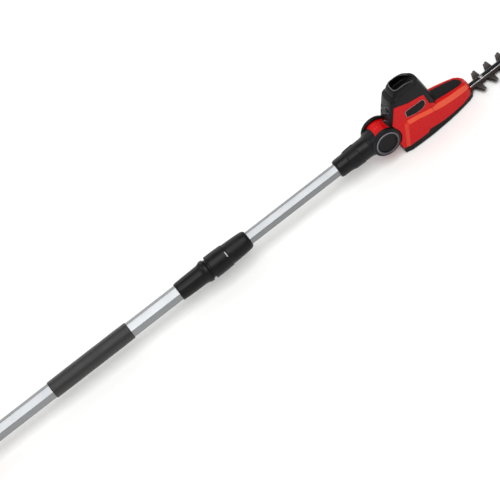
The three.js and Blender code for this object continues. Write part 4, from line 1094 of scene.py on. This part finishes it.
def sleeve_over(table, start, end, lift):
    """A rubber skin round the grip between two stations, ribbed across every 5 mm by 0.35 mm."""
    rows = section_rows(table, 2.7)
    x = np.linspace(start, end, 80)
    skin = np.stack([np.stack([np.interp(x, rows[:, 0, 0], rows[:, k, axis])
                               for k in range(rows.shape[1])], 1) for axis in (1, 2)], -1)
    middle = skin.mean(1, keepdims=True)
    out = (skin - middle) / np.linalg.norm(skin - middle, axis=2, keepdims=True)
    edge = np.clip(np.minimum(x - start, end - x) / 1.0, 0, 1)
    stand = lift * np.sqrt(1 - (1 - edge) ** 2) - 0.35 * (0.5 + 0.5 * np.cos(x * 2 * np.pi / 5)) ** 4 - 0.2
    skin = skin + out * stand[:, None, None]
    return np.concatenate([x[:, None, None] + 0 * skin[..., :1], skin], -1)


sleeve_skin = piece("palm_grip_sleeve", rubber, shell(sleeve_over(HAND_GRIP, -1220, -1156, 1.3)), crease=60)
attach(sleeve_skin, "pole")

screw_line = [[0.6, 0.2], [0.6, 1.1], [1.5, 1.4], [1.7, 2.9], [1.2, 3.3], [-1.0, 3.3], [-1.0, 0.2]]
screws = [shell(turned(np.array(screw_line) * [-1, 1] + [-y, 0], 28, "y", (x, z)))
          for x, y, z in ((-1283, 29.6, 22), (-1283, 29.6, -32), (-1030, 24.2, 0), (-1126, 14.0, -48.6))]
handle_screws = piece("handle_screws", zinc, *screws)
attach(handle_screws, "pole")

# ---- the trigger group ----
# The trigger hangs on a steel pin and pushes a sealed switch against a coil spring. The lock-off button
# on top slides down through the shell. Moulded nylon with rounded edges.
for name, source, body, width in (("trigger_lever", "trigger", "trigger", 1.6),
                                  ("lock_off_slider", "lock_off_button", "lock_off", 1.2)):
    lever = eased(name, nylon, source, width, 4)
    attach(lever, body)
    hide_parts(source)
dress(ground, "trigger_pin")
dress(spring_steel, "trigger_spring")
dress(nylon, "trigger_switch")

# ---- the battery dock and the battery ----
# The dock's rails are screwed inside the handle's rear. The pack is a two-part nylon case round five
# lithium cells, with a sprung red release button on top and a row of plain gauge lamps.
dock = eased("battery_dock_rails", cap_nylon, "battery_dock", 0.5)
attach(dock, "pole")
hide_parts("battery_dock")
for half in ("front", "rear"):
    case = eased("battery_case_" + half, cap_nylon, "battery_%s_case" % half, 1.4, 3, 32)
    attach(case, "battery")
    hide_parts("battery_%s_case" % half)
release = eased("battery_release_cap", red_abs, "battery_button", 1.2, 3)
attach(release, "battery_release")
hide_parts("battery_button")

ribs = [shell(block_rows(-1366.5, -1364.5, -27, 27, z, z + 2.2)) for z in np.arange(-44, 20, 7.0)]
pads = piece("battery_ribs", rubber, *ribs)
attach(pads, "battery")
lamp_finish = moulded("acrylic_lamp_green", "#1E5A2C", "#3E8C4C", 0.2, 1.0, 0.005, 0.0)
lamp = np.array([[-1366.9, 0.2], [-1366.9, 1.2], [-1366.5, 1.7], [-1365, 1.8], [-1365, 0.2]])
row = [shell(turned(lamp, 24, "x", (y, 31))) for y in (-12, -4, 4, 12)]
lamps = piece("battery_gauge_lamps", lamp_finish, *row)
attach(lamps, "battery")
jacket = moulded("pvc_heat_shrink_blue", "#245C7A", "#3A7898", 0.3, 2.0, 0.01, 0.0)
dress(jacket, *["cell_%d" % number for number in range(1, 6)])
